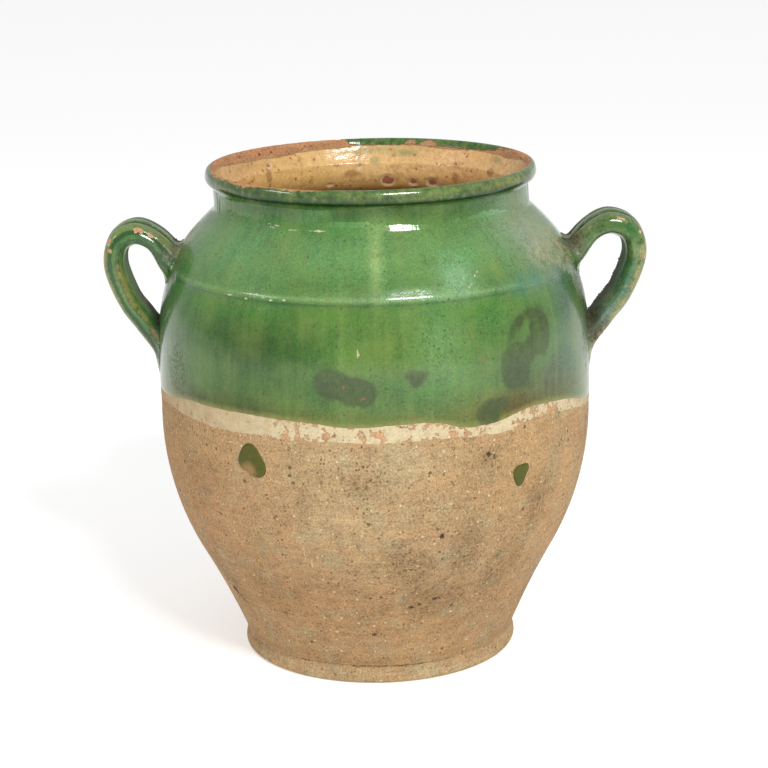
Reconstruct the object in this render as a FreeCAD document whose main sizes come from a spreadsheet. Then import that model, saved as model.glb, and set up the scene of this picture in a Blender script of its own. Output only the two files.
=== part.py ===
import FreeCAD
import Part
import Sketcher
import math
import os

# Earthenware confit pot in millimetres: one thrown vessel with a rolled rim, and two
# pulled strap handles that spring from its shoulder and die into its wall. The origin
# is the centre of the standing face, +Z is up, and the handles lie along X.

# Driving dimensions: name, value, and what it measures

SIZES = (
    ("pot_height", 320.0, "standing face to the crest of the lip"),
    ("foot_radius", 90.0, "widest ring of the foot"),
    ("foot_rounding", 3.5, "rounding from the foot ring to the standing face"),
    ("foot_height", 10.5, "standing face to the crease above the foot"),
    ("crease_depth", 1.4, "how far the crease draws in behind the foot ring"),
    ("belly_radius", 140.0, "widest ring of the wall"),
    ("belly_height", 160.0, "standing face to the widest ring"),
    ("ledge_drop", 63.5, "lip down to the ledge on the shoulder"),
    ("ledge_inset", 10.6, "how far the wall has drawn in at the ledge"),
    ("ledge_width", 0.9, "how far the shoulder stands proud over the ledge"),
    ("ledge_slope", 1.1, "height of the ledge"),
    ("neck_radius", 100.3, "upright neck under the rim"),
    ("neck_drop", 22.5, "lip down to the foot of the neck"),
    ("rim_height", 13.2, "lip down to the underside of the rim"),
    ("rim_overhang", 5.5, "how far the rim's belt stands out past the neck"),
    ("belt_drop", 5.7, "lip down to the rim's belt"),
    ("lip_inset", 3.8, "belt in to the crest of the lip"),
    ("bevel_inset", 9.2, "belt in to the foot of the slope inside the lip"),
    ("bevel_drop", 8.0, "lip down to the foot of that slope"),
    ("wall", 8.5, "thickness of the thrown wall"),
    ("floor_thickness", 12.0, "clay under the inside floor"),
    ("heel", 8.0, "sloped corner between the inside wall and the floor"),
    ("left_stand", 26.2, "left grip's middle line out from the belly"),
    ("left_rise", 22.2, "left arch's middle line above the ledge, at its crown"),
    ("left_reach", 49.5, "ledge down to where the left limb meets the wall"),
    ("left_root", 20.0, "thickness of the left strap where it springs from the shoulder"),
    ("right_stand", 30.0, "right grip's middle line out from the belly"),
    ("right_rise", 22.6, "right arch's middle line above the ledge, at its crown"),
    ("right_reach", 51.5, "ledge down to where the right limb meets the wall"),
    ("right_root", 13.0, "thickness of the right strap where it springs from the shoulder"),
    ("strap_width", 36.0, "breadth of both straps along their middle"),
    ("strap_thickness", 13.0, "thickness of both straps at the crown"),
    ("rib_depth", 1.7, "depth of the two finger grooves between the three ribs"),
)

# Sketch references: the horizontal axis, whose start is the origin, the vertical axis,
# and the places on a shape

HORIZONTAL_AXIS, VERTICAL_AXIS = -1, -2
START, END, CENTRE = 1, 2, 3
OUT_OF_PAPER = FreeCAD.Vector(0, 0, 1)
UPWARD = math.pi / 2
DOWNWARD = -math.pi / 2
CURVE_DEGREE = 3

doc = FreeCAD.newDocument("confit_pot")
sheet = doc.addObject("Spreadsheet::Sheet", "sizes")
for row, (alias, value, meaning) in enumerate(SIZES, start=1):
    sheet.set("A%d" % row, str(value))
    sheet.setAlias("A%d" % row, alias)
    sheet.set("B%d" % row, meaning)
doc.recompute()


def cell(name):
    """The sheet's name for a size, as an expression writes it."""
    return "sizes." + name


def worth(expression):
    """What an expression comes to now, read through the sheet."""
    return float(sheet.evalExpression(expression.replace("sizes.", "")))


def below_lip(name):
    """Expression for a height that is measured down from the lip."""
    return "(%s - %s)" % (cell("pot_height"), cell(name))


def between(low, high, share):
    """Expression for a value a share of the way from one expression to another."""
    return "(%s + (%s - %s) * %g)" % (low, high, low, share)


# Outlines: lines, arcs and four-point curves between named points


class Outline:
    """A closed outline in a sketch. The first shape that reaches a point ties it to
    the sizes, and each later one meets it there."""

    def __init__(self, sketch, points):
        self.sketch = sketch
        self.points = points
        self.reached = {}

    def spot(self, name):
        across, up = self.points[name]
        return FreeCAD.Vector(worth(across), worth(up), 0)

    def rule(self, *words):
        return self.sketch.addConstraint(Sketcher.Constraint(*words))

    def tie(self, kind, axis, shape, place, expression):
        """Holds one coordinate of a place on a shape to an expression."""
        if expression == "0":
            self.rule("PointOnObject", shape, place, axis)
            return
        number = self.rule(kind, HORIZONTAL_AXIS, START, shape, place, worth(expression))
        self.sketch.setExpression("Constraints[%d]" % number, expression)

    def hold(self, name, shape, place):
        """Brings a place on a shape to a named point."""
        if name in self.reached:
            self.rule("Coincident", *self.reached[name], shape, place)
            return
        self.reached[name] = (shape, place)
        across, up = self.points[name]
        self.tie("DistanceX", VERTICAL_AXIS, shape, place, across)
        self.tie("DistanceY", HORIZONTAL_AXIS, shape, place, up)

    def lines(self, *names):
        """Straight lines from point to point."""
        for first, last in zip(names, names[1:]):
            line = self.sketch.addGeometry(Part.LineSegment(self.spot(first), self.spot(last)))
            self.hold(first, line, START)
            self.hold(last, line, END)

    def arcs(self, heading, *names):
        """Arcs from point to point, upright at the first, each leaving as the last arrives."""
        before = None
        for first, last in zip(names, names[1:]):
            here = self.spot(first)
            way = self.spot(last) - here
            turn = 2 * angle_within(math.atan2(way.y, way.x) - heading)
            radius = way.Length / 2 / math.sin(turn / 2)
            centre = here + FreeCAD.Vector(-math.sin(heading), math.cos(heading), 0) * radius
            heading = heading + turn
            arrival = math.atan2(way.y + here.y - centre.y, way.x + here.x - centre.x)
            angles = sorted((arrival - turn, arrival))
            circle = Part.Circle(centre, OUT_OF_PAPER, abs(radius))
            arc = self.sketch.addGeometry(Part.ArcOfCircle(circle, *angles))
            near, far = (START, END) if turn > 0 else (END, START)
            if before:
                self.rule("Tangent", *before, arc, near)
            else:
                self.hold(first, arc, near)
                self.rule("Horizontal", arc, CENTRE, arc, near)
            self.hold(last, arc, far)
            before = (arc, far)

    def curve(self, *names):
        """One smooth curve from the first of four points to the last, drawn by the other two."""
        spots = [self.spot(name) for name in names]
        curve = self.sketch.addGeometry(
            Part.BSplineCurve(spots, None, None, False, CURVE_DEGREE, None, False))
        poles = [self.sketch.addGeometry(Part.Circle(spot, OUT_OF_PAPER, 1.0), True)
                 for spot in spots]
        self.rule("Weight", poles[0], 1.0)
        for pole in poles[1:]:
            self.rule("Equal", poles[0], pole)
        for number, (name, pole) in enumerate(zip(names, poles)):
            self.rule("InternalAlignment:Sketcher::BSplineControlPoint",
                      pole, CENTRE, curve, number)
            self.hold(name, pole, CENTRE)


def angle_within(angle):
    """The same angle, brought within half a turn either way."""
    return math.atan2(math.sin(angle), math.cos(angle))


def new_sketch(body, name, plane):
    sketch = body.newObject("Sketcher::SketchObject", name)
    for feature in body.Origin.OriginFeatures:
        if feature.Role == plane:
            sketch.AttachmentSupport = [(feature, "")]
    sketch.MapMode = "FlatFace"
    return sketch


def turned_body(name, draw):
    """A solid turned about Z from the half outline that draw makes."""
    body = doc.addObject("PartDesign::Body", name)
    sketch = new_sketch(body, name + "_outline", "XZ_Plane")
    draw(sketch)
    turning = body.newObject("PartDesign::Revolution", name + "_turning")
    turning.Profile = sketch
    turning.ReferenceAxis = (sketch, ["V_Axis"])
    turning.Angle = 360
    body.Tip = turning
    return body


def cut(name, base, tool):
    result = doc.addObject("Part::Cut", name)
    result.Base = base
    result.Tool = tool
    result.Label = name
    return result


# The vessel. Its outside is drawn from the standing face up to the lip and a short
# way down the slope inside it; its inside follows one wall in

BELLY = cell("belly_radius")
BELLY_LEVEL = cell("belly_height")
CREASE = "(%s - %s)" % (cell("foot_radius"), cell("crease_depth"))
LEDGE = "(%s - %s)" % (BELLY, cell("ledge_inset"))
LEDGE_LEVEL = below_lip("ledge_drop")
SHOULDER = "(%s + %s)" % (LEDGE, cell("ledge_width"))
SHOULDER_LEVEL = "(%s + %s)" % (LEDGE_LEVEL, cell("ledge_slope"))
NECK = cell("neck_radius")
NECK_LEVEL = below_lip("neck_drop")
RIM = "(%s + %s)" % (NECK, cell("rim_overhang"))
RIM_LEVEL = below_lip("rim_height")
LIP = "(%s - %s)" % (RIM, cell("lip_inset"))
LIP_LEVEL = cell("pot_height")
BEVEL = "(%s - %s)" % (RIM, cell("bevel_inset"))
BEVEL_LEVEL = below_lip("bevel_drop")
BELT_LEVEL = below_lip("belt_drop")
FLOOR_LEVEL = cell("floor_thickness")

OUTSIDE = {
    "axis_foot": ("0", "0"),
    "base_edge": ("%s - %s" % (cell("foot_radius"), cell("foot_rounding")), "0"),
    "foot_ring": (cell("foot_radius"), cell("foot_rounding")),
    "crease": (CREASE, cell("foot_height")),
    "flare": (between(CREASE, BELLY, 0.56), between(cell("foot_height"), BELLY_LEVEL, 0.41)),
    "belly": (BELLY, BELLY_LEVEL),
    "haunch": (between(BELLY, LEDGE, 0.095), between(BELLY_LEVEL, LEDGE_LEVEL, 0.58)),
    "ledge": (LEDGE, LEDGE_LEVEL),
    "shoulder": (SHOULDER, SHOULDER_LEVEL),
    "slope": (between(SHOULDER, NECK, 0.527), between(SHOULDER_LEVEL, NECK_LEVEL, 0.561)),
    "collar": (between(SHOULDER, NECK, 0.913), between(SHOULDER_LEVEL, NECK_LEVEL, 0.852)),
    "neck_foot": (NECK, NECK_LEVEL),
    "neck_top": (NECK, RIM_LEVEL),
    "under_roll": (between(NECK, RIM, 0.6), between(RIM_LEVEL, BELT_LEVEL, 0.4)),
    "belt": (RIM, BELT_LEVEL),
    "over_roll": (between(RIM, LIP, 0.25), between(BELT_LEVEL, LIP_LEVEL, 0.7)),
    "lip": (LIP, LIP_LEVEL),
    "lip_inside": (between(LIP, BEVEL, 0.444), between(LIP_LEVEL, BEVEL_LEVEL, 0.2)),
    "bevel": (BEVEL, BEVEL_LEVEL),
    "axis_top": ("0", BEVEL_LEVEL),
}


def draw_outside(sketch):
    """The pot as if it were solid, cut off level with the foot of the slope in the lip."""
    outline = Outline(sketch, OUTSIDE)
    outline.lines("axis_foot", "base_edge")
    outline.arcs(DOWNWARD, "foot_ring", "base_edge")
    outline.arcs(UPWARD, "foot_ring", "crease")
    outline.arcs(DOWNWARD, "belly", "flare", "crease")
    outline.arcs(UPWARD, "belly", "haunch", "ledge")
    outline.lines("ledge", "shoulder")
    outline.arcs(DOWNWARD, "neck_foot", "collar", "slope", "shoulder")
    outline.lines("neck_foot", "neck_top", "under_roll")
    outline.arcs(DOWNWARD, "belt", "under_roll")
    outline.arcs(UPWARD, "belt", "over_roll", "lip", "lip_inside")
    outline.lines("lip_inside", "bevel", "axis_top", "axis_foot")


# How far the wall leans in from upright at points of the outside, in degrees

LEANS = {"flare": -27, "belly": 0, "haunch": 4, "ledge": 26, "slope": 42, "collar": 44}


def one_wall_in(name):
    """A point of the outside, moved in square through the wall."""
    across, up = OUTSIDE[name]
    lean = math.radians(LEANS[name])
    inward = "%s - %s * %g" % (across, cell("wall"), math.cos(lean))
    down = "%s - %s * %g" % (up, cell("wall"), math.sin(lean))
    return inward, down


THROAT = "%s - %s" % (NECK, cell("wall"))
HEEL = "%s - %s" % (CREASE, cell("wall"))

INSIDE = {
    "axis_top": ("0", BEVEL_LEVEL),
    "bevel": (BEVEL, BEVEL_LEVEL),
    "throat_top": (THROAT, between(RIM_LEVEL, NECK_LEVEL, 0.25)),
    "throat_foot": (THROAT, NECK_LEVEL),
    "collar": one_wall_in("collar"),
    "slope": one_wall_in("slope"),
    "ledge": one_wall_in("ledge"),
    "haunch": one_wall_in("haunch"),
    "belly": one_wall_in("belly"),
    "flare": one_wall_in("flare"),
    "heel_top": (HEEL, "%s + %s" % (FLOOR_LEVEL, cell("heel"))),
    "heel_foot": ("%s - %s" % (HEEL, cell("heel")), FLOOR_LEVEL),
    "axis_floor": ("0", FLOOR_LEVEL),
}


def draw_inside(sketch):
    """The space inside the wall, up to the foot of the slope in the lip."""
    outline = Outline(sketch, INSIDE)
    outline.lines("axis_top", "bevel", "throat_top", "throat_foot")
    outline.arcs(DOWNWARD, "throat_foot", "collar")
    outline.arcs(UPWARD, "belly", "haunch", "ledge", "slope", "collar")
    outline.arcs(DOWNWARD, "belly", "flare", "heel_top")
    outline.lines("heel_top", "heel_foot", "axis_floor", "axis_top")


# The handles: a ribbed strap lofted through cross-sections along its way. Each entry
# gives the ring that it stands out from, its share of the strap's stand, whether it is
# up by the rise or down by the reach and its share of that, the turn of its outer face
# in degrees, its shares of thickness, of the root's own thickness, of breadth and of
# rib depth. The first and last sections lie inside the wall

STATIONS = (
    (LEDGE, -0.24, "rise", -0.15, 138, 1.0, 1.0, 1.02, 0.3),
    (LEDGE, 0.03, "rise", 0.22, 136, 0.96, 1.0, 1.04, 0.7),
    (LEDGE, 0.4, "rise", 0.77, 122, 0.9, 0.3, 1.0, 1.0),
    (BELLY, 0.45, "rise", 1.0, 90, 1.0, 0.0, 1.0, 1.0),
    (BELLY, 0.885, "rise", 0.73, 43, 1.0, 0.0, 1.0, 1.0),
    (BELLY, 1.0, "rise", 0.03, 0, 0.98, 0.0, 1.0, 1.0),
    (BELLY, 0.69, "reach", -0.45, -32, 0.94, 0.0, 0.98, 1.0),
    (BELLY, 0.28, "reach", -0.76, -36, 0.94, 0.0, 0.97, 0.8),
    (BELLY, -0.07, "reach", -1.1, -20, 0.82, 0.0, 0.94, 0.3),
    (BELLY, -0.17, "reach", -1.34, -10, 0.8, 0.0, 0.9, 0.0),
    (BELLY, -0.32, "reach", -1.63, -8, 0.75, 0.0, 0.84, 0.0),
)


def section_points(thickness, broad, ribs):
    """Corners of one cross-section, its outer face toward +X: three ribs outside, one
    flattened back."""
    half_thick = "%s * 0.5" % thickness
    rib = "%s * %g" % (cell("rib_depth"), ribs)

    def corner(depth, rib_share, breadth):
        across = "%s * %g + %s * %g" % (half_thick, depth, rib, rib_share)
        return across, "%s * %g" % (cell("strap_width"), broad * breadth)

    points = {}
    for side, sign in (("left", -1), ("right", 1)):
        points[side + "_groove"] = corner(1, -1, 0.17 * sign)
        points[side + "_crown"] = corner(1, 0.33, 0.09 * sign)
        points[side + "_rib"] = corner(1, 0.35, 0.26 * sign)
        points[side + "_shoulder"] = corner(0.95, -0.3, 0.5 * sign)
        points[side + "_edge"] = corner(0, 0, 0.5 * sign)
        points[side + "_back"] = corner(-1.33, 0, 0.68 * sign)
    return points


def strap(side, turned):
    """One handle as pulled, its two ends still running on inside the wall."""
    body = doc.addObject("PartDesign::Body", side + "_strap")
    sections = []
    for number, station in enumerate(STATIONS, start=1):
        ring, out, way, up, lean, thick, rooted, broad, ribs = station
        sketch = new_sketch(body, "%s_section_%d" % (side, number), "XY_Plane")
        across = "%s + %s * %g" % (ring, cell(side + "_stand"), out)
        height = "%s + %s * %g" % (LEDGE_LEVEL, cell(side + "_" + way), up)
        sketch.AttachmentOffset = FreeCAD.Placement(
            FreeCAD.Vector(worth(across), 0, worth(height)),
            FreeCAD.Rotation(FreeCAD.Vector(0, 1, 0), -lean))
        sketch.setExpression("AttachmentOffset.Base.x", across)
        sketch.setExpression("AttachmentOffset.Base.z", height)
        thickness = between(cell("strap_thickness"), cell(side + "_root"), rooted)
        points = section_points("%s * %g" % (thickness, thick), broad, ribs)
        outline = Outline(sketch, points)
        outline.curve("left_groove", "left_crown", "right_crown", "right_groove")
        outline.curve("right_groove", "right_rib", "right_shoulder", "right_edge")
        outline.curve("right_edge", "right_back", "left_back", "left_edge")
        outline.curve("left_edge", "left_shoulder", "left_rib", "left_groove")
        sections.append(sketch)
    loft = body.newObject("PartDesign::AdditiveLoft", side + "_loft")
    loft.Profile = sections[0]
    loft.Sections = sections[1:]
    loft.Ruled = False
    body.Tip = loft
    body.Placement = FreeCAD.Placement(FreeCAD.Vector(),
                                       FreeCAD.Rotation(FreeCAD.Vector(0, 0, 1), turned))
    return body


# The whole pot: the straps are pressed onto the outside, so the full form trims them

pot_form = turned_body("pot_form", draw_outside)
hollow_form = turned_body("hollow_form", draw_inside)
thrown_vessel = cut("thrown_vessel", pot_form, hollow_form)
left_handle = cut("left_handle", strap("left", 180), pot_form)
right_handle = cut("right_handle", strap("right", 0), pot_form)
doc.recompute()

failed = [item.Name for item in doc.Objects if {"Invalid", "Error"} & set(item.State)]
if failed:
    raise RuntimeError("these objects failed: " + ", ".join(failed))

# One solid each

PIECES = (thrown_vessel, left_handle, right_handle)
for piece in PIECES:
    shape = piece.Shape
    if shape.isNull() or not shape.isValid() or len(shape.Solids) != 1:
        raise RuntimeError(piece.Label + " is not one sound solid")

os.makedirs("parts", exist_ok=True)
for piece in PIECES:
    piece.Shape.exportStep("parts/%s.step" % piece.Label)
    print("%s: %.0f cubic mm" % (piece.Label, piece.Shape.Volume))
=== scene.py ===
# %% [markdown]
# # A green-glazed confit pot
# The pot is one thrown vessel of buff earthenware with two pulled strap handles. Its upper
# half was dipped in white slip and then in a green lead glaze, its inside was glazed amber,
# and its lower half was left bare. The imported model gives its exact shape. This lesson
# dresses that shape: bare clay, slip, glazes and handles are made one after another, and
# all of them are wrapped round one and the same outline, so they fit each other anywhere.

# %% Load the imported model
import math

import bpy
import numpy as np
from mathutils import Matrix, Vector


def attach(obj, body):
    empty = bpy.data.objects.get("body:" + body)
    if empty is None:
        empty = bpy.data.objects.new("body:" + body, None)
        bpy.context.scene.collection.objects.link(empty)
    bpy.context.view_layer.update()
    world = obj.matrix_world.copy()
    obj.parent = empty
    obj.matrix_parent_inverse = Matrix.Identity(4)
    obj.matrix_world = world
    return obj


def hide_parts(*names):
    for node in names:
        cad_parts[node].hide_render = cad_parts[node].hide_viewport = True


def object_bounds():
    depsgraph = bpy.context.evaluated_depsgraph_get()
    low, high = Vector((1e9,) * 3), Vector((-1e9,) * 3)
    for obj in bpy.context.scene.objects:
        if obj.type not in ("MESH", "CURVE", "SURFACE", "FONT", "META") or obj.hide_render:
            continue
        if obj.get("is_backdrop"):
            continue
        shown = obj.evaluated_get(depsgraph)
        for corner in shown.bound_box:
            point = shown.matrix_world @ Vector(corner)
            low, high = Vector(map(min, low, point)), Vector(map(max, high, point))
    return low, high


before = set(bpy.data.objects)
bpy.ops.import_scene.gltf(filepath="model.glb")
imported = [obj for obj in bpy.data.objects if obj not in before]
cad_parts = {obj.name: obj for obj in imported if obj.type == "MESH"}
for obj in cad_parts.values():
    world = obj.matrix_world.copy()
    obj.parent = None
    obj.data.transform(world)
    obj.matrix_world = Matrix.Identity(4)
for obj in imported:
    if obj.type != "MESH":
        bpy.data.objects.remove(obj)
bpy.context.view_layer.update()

MM = 0.001
MATH, VECTOR = "ShaderNodeMath", "ShaderNodeVectorMath"

# %% [markdown]
# ## The camera
# The photograph was taken from a little above the rim, straight on to both handles, with a
# long lens. The camera comes first, because every later choice is judged through it. Its
# place and turn are given as plain numbers, and so is the small roll that the picture has.

# %% Set up the camera
CAMERA_PLACE = Vector((0.0, -1380.5, 545.4)) * MM
CAMERA_FORWARD = Vector((0.00411, 0.96553, -0.26027)).normalized()
CAMERA_ROLL = math.radians(-1.18)
LENS_MM = 102.4
SENSOR_MM = 36.0
FAR_CLIP = 50.0  # in metres, beyond the whole table

right = CAMERA_FORWARD.cross(Vector((0, 0, 1))).normalized()
above = right.cross(CAMERA_FORWARD)
rolled_right = right * math.cos(CAMERA_ROLL) + above * math.sin(CAMERA_ROLL)
rolled_above = above * math.cos(CAMERA_ROLL) - right * math.sin(CAMERA_ROLL)
lens = bpy.data.cameras.new("long_lens")
lens.lens = LENS_MM
lens.sensor_width = SENSOR_MM
lens.clip_end = FAR_CLIP
camera = bpy.data.objects.new("camera", lens)
camera.matrix_world = Matrix.Translation(CAMERA_PLACE) @ Matrix(
    (rolled_right, rolled_above, -CAMERA_FORWARD)).transposed().to_4x4()
bpy.context.scene.collection.objects.link(camera)
bpy.context.scene.camera = camera
print("the camera stands %.2f m from the pot's axis" % CAMERA_PLACE.xy.length)

# %% [markdown]
# ## Nodes, colours and one helper
# Every material and every Geometry Nodes tree below is a handful of nodes. One function
# adds a node, sets what is given and links what is given, so a tree reads as a list of
# steps. Colours are written as on a paint chart, in sRGB, and turned to linear light here.

# %% A helper for nodes and one for colours


def add(tree, kind, *values, **given):
    """Adds a node. First comes its operation, if it has one, then values for its inputs in
    order. Small-letter names are settings, capital ones inputs. A node gives its result."""
    node = tree.nodes.new(kind)
    if values and isinstance(values[0], str):
        node.operation, *values = values
    for name, value in given.items():
        if name[0].islower():
            setattr(node, name, value)
    pairs = list(zip([socket for socket in node.inputs if socket.enabled], values))
    pairs += [(node.inputs[name.replace("_", " ")], value)
              for name, value in given.items() if name[0].isupper()]
    for socket, value in pairs:
        if isinstance(value, bpy.types.Node):
            value = next(result for result in value.outputs if result.enabled)
        if isinstance(value, bpy.types.NodeSocket):
            tree.links.new(value, socket)
        else:
            socket.default_value = value
    return node


def paint(code):
    """A colour chart's six digits as the linear colour that a shader wants."""
    parts = [int(code[place:place + 2], 16) / 255 for place in (0, 2, 4)]
    linear = [part / 12.92 if part < 0.04045 else ((part + 0.055) / 1.055) ** 2.4
              for part in parts]
    return (*linear, 1.0)


print("mid glaze green is", [round(part, 3) for part in paint("4F8744")])

# %% [markdown]
# ## The stand and the light
# The pot stands on a white table that runs into a white background, under a bright, even
# sky, as in a light tent: the grazing parts of the glaze go pale from it. The table glows a
# little by itself, which keeps it white to the edges of the picture, and leaves only a soft
# shade beside the pot.

# %% Lay the table under an even sky
scene = bpy.context.scene
scene.view_settings.view_transform = "Standard"
FLOOR_REACH = 12.0  # in metres, each way from the pot
SKY_STRENGTH = 0.60
TABLE_GLOW = 0.37

floor_mesh = bpy.data.meshes.new("white_table")
corners = [(x * FLOOR_REACH, y * FLOOR_REACH, 0)
           for x, y in ((-1, -1), (1, -1), (1, 1), (-1, 1))]
floor_mesh.from_pydata(corners, [], [(0, 1, 2, 3)])
floor = bpy.data.objects.new("white_table", floor_mesh)
scene.collection.objects.link(floor)
# Uncoated paper: no shine at all, so the pot leaves a shade on it and no reflection.
paper = bpy.data.materials.new("matt_white_paper")
paper.use_nodes = True
paper_shader = paper.node_tree.nodes["Principled BSDF"]
paper_shader.inputs["Base Color"].default_value = paint("F6F6F6")
paper_shader.inputs["Roughness"].default_value = 0.9
paper_shader.inputs["Emission Color"].default_value = paint("FFFFFF")
paper_shader.inputs["Emission Strength"].default_value = TABLE_GLOW
floor_mesh.materials.append(paper)
floor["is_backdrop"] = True

world = bpy.data.worlds.new("light_tent")
world.use_nodes = True
world.node_tree.nodes["Background"].inputs["Color"].default_value = paint("FFFFFF")
world.node_tree.nodes["Background"].inputs["Strength"].default_value = SKY_STRENGTH
scene.world = world
print("the table reaches %.0f m each way" % FLOOR_REACH)

# %% [markdown]
# A soft lamp stands high in front, a little to the right, so low that it shines on the far
# wall inside, and so high that only the ledge, the neck and the rim turn its shine to the
# camera. A weaker one stands for the window at the left.

# %% Hang the lamps
LAMPS_AIM = Vector((0, 0, 0.2))
LAMPS = (
    # name, place in metres, width and height in metres, watts
    ("main_softbox", (0.59, -1.47, 1.48), (0.60, 0.22), 27.0),
    ("left_window", (-1.60, -0.60, 1.18), (0.60, 0.16), 4.0),
)
for name, place, size, watts in LAMPS:
    lamp_data = bpy.data.lights.new(name, "AREA")
    lamp_data.shape = "RECTANGLE"
    lamp_data.size, lamp_data.size_y = size
    lamp_data.energy = watts
    lamp = bpy.data.objects.new(name, lamp_data)
    lamp.location = place
    lamp.rotation_mode = "QUATERNION"
    lamp.rotation_quaternion = (Vector(place) - LAMPS_AIM).to_track_quat("Z", "Y")
    scene.collection.objects.link(lamp)
print("lamps:", ", ".join(row[0] for row in LAMPS))

# %% [markdown]
# ## The outline that everything follows
# A thrown pot is its outline turned about an axis. The outline here runs from the middle of
# the underside out to the foot, up the wall, over the lip and down the inside to the middle
# of the floor. It is written as few points as possible, those where the curve changes, and
# arcs run through them: each arc leaves a point in the direction in which the last arrived.

# %% Write the outline down
OUTLINE = (
    # how it starts out: "straight", or an arc's first heading in degrees; then its points
    ("straight", ((0, 0), (86.5, 0))),
    (-90, ((90, 3.5), (86.5, 0))),
    (90, ((90, 3.5), (88.6, 10.5))),
    (-90, ((140, 160), (117.4, 71.8), (88.6, 10.5))),
    (90, ((140, 160), (139, 216), (129.4, 256.5))),
    ("straight", ((129.4, 256.5), (130.3, 257.6))),
    (-90, ((100.3, 297.5), (102.9, 291.6), (114.5, 280), (130.3, 257.6))),
    ("straight", ((100.3, 297.5), (100.3, 306.8), (103.6, 309.8))),
    (-90, ((105.8, 314.3), (103.6, 309.8))),
    (90, ((105.8, 314.3), (104.85, 318.3), (102, 320), (99.6, 318.4))),
    ("straight", ((99.6, 318.4), (96.6, 312), (91.8, 304.5), (91.8, 297.5))),
    (-90, ((91.8, 297.5), (96.8, 285.7))),
    (90, ((131.5, 160), (130.5, 215.4), (121.8, 252.8), (108.2, 274.3), (96.8, 285.7))),
    (-90, ((131.5, 160), (109.8, 75.7), (80.1, 20))),
    ("straight", ((80.1, 20), (72.1, 12), (0, 12))),
)
print("points that the outline is drawn through:", sum(len(row[1]) for row in OUTLINE))

# %% Run straight lines and arcs through its points
STEP = 0.8


def stretch_through(start, points):
    """Points every STEP millimetres through the given ones, straight or in arcs."""
    stretch = [points[0]]
    heading = 0 if start == "straight" else math.radians(start)
    for here, there in zip(points, points[1:]):
        way = np.subtract(there, here)
        bearing = math.atan2(way[1], way[0])
        turn = 0 if start == "straight" else 2 * math.remainder(bearing - heading, math.tau)
        length = np.hypot(*way)
        count = math.ceil(length / STEP)
        share = np.arange(1, count + 1) / count
        chord = length * (np.sin(share * turn / 2) / math.sin(turn / 2) if turn else share)
        angle = bearing + (share - 1) * turn / 2
        stretch.extend(zip(here[0] + chord * np.cos(angle), here[1] + chord * np.sin(angle)))
        heading += turn
    return stretch


trail = [(0, 0)]
for start, points in OUTLINE:
    stretch = stretch_through(start, points)
    if math.dist(stretch[0], trail[-1]) > STEP / 10:  # it was drawn from its far end
        stretch.reverse()
    trail.extend(stretch[1:])
outline = np.array(trail)
along = np.concatenate(([0], np.cumsum(np.hypot(*np.diff(outline, axis=0).T))))
LIP = int(np.argmax(outline[:, 1]))
print("the outline has %d points and is %.0f mm long" % (len(outline), along[-1]))

# %% [markdown]
# Two questions come up again and again: how far along the outline is a given height on the
# outer wall, and how wide is the pot there. Both are read off the outline. The packed
# vessel is used once, to check that the outline here is the one it was made with.

# %% Read the outline, and check it


def run_at(height):
    """Distance along the outline of a height on the outer wall, in millimetres."""
    return np.interp(height, outline[1:LIP + 1, 1], along[1:LIP + 1])


def wall_radius(height):
    """Radius of the outer wall at a height, in millimetres."""
    return np.interp(height, outline[1:LIP + 1, 1], outline[1:LIP + 1, 0])


CHECK_EVERY = 23
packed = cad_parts["thrown_vessel"].data
spots = np.empty(len(packed.vertices) * 3)
packed.vertices.foreach_get("co", spots)
spots = spots.reshape(-1, 3) / MM
spots = np.stack((np.hypot(spots[:, 0], spots[:, 1]), spots[:, 2]), 1)[::CHECK_EVERY]
nearest = np.min(np.hypot(*(spots[:, None] - outline[None]).transpose(2, 0, 1)), axis=1)
print("farthest packed vertex from the outline: %.2f mm" % nearest.max())

# %% [markdown]
# ## Wrapping flat patterns round the pot
# Clay, slip and glaze all lie on the same turned surface. Each could be spun by itself, but
# then their edges, which dip and swing as you walk round the pot, would be hard to draw. So
# every piece starts as a flat pattern, as a map does: angle round the pot across, distance
# along the outline up, and how far it stands off the outline as its thickness. One Geometry
# Nodes tree wraps any such pattern round the pot. Its inputs are named and its noise has a
# fixed seed. Every tree ends alike: corners at their places, seams sewn, real geometry and
# the finish.

# %% Start and end a tree
SEAM = MM / 500  # corners this near to each other are one


def new_tree(name, inputs):
    """A Geometry Nodes tree with named inputs: rows of name, socket type and default."""
    tree = bpy.data.node_groups.new(name, "GeometryNodeTree")
    tree.interface.new_socket("Geometry", in_out="INPUT", socket_type="NodeSocketGeometry")
    tree.interface.new_socket("Geometry", in_out="OUTPUT", socket_type="NodeSocketGeometry")
    for label, kind, default in inputs:
        socket = tree.interface.new_socket(label, in_out="INPUT", socket_type=kind)
        if default is not None:
            socket.default_value = default
    return tree


def sew_up(tree, geometry, corner):
    """Moves a net's corners to their places, given in millimetres, and sews its seams."""
    metres = add(tree, VECTOR, "SCALE", corner, Scale=MM)
    moved = add(tree, "GeometryNodeSetPosition", Geometry=geometry, Position=metres)
    sewn = add(tree, "GeometryNodeMergeByDistance", Geometry=moved, Distance=SEAM)
    return add(tree, "GeometryNodeSetShadeSmooth", Geometry=sewn)


def end_tree(tree, geometry, finish):
    """Ends a tree with real geometry instead of instances, and with its finish."""
    whole = add(tree, "GeometryNodeRealizeInstances", Geometry=geometry)
    finished = add(tree, "GeometryNodeSetMaterial", Geometry=whole, Material=finish)
    add(tree, "NodeGroupOutput", Geometry=finished)


print("corners within %.3f mm are sewn together" % (SEAM / MM))

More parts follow.
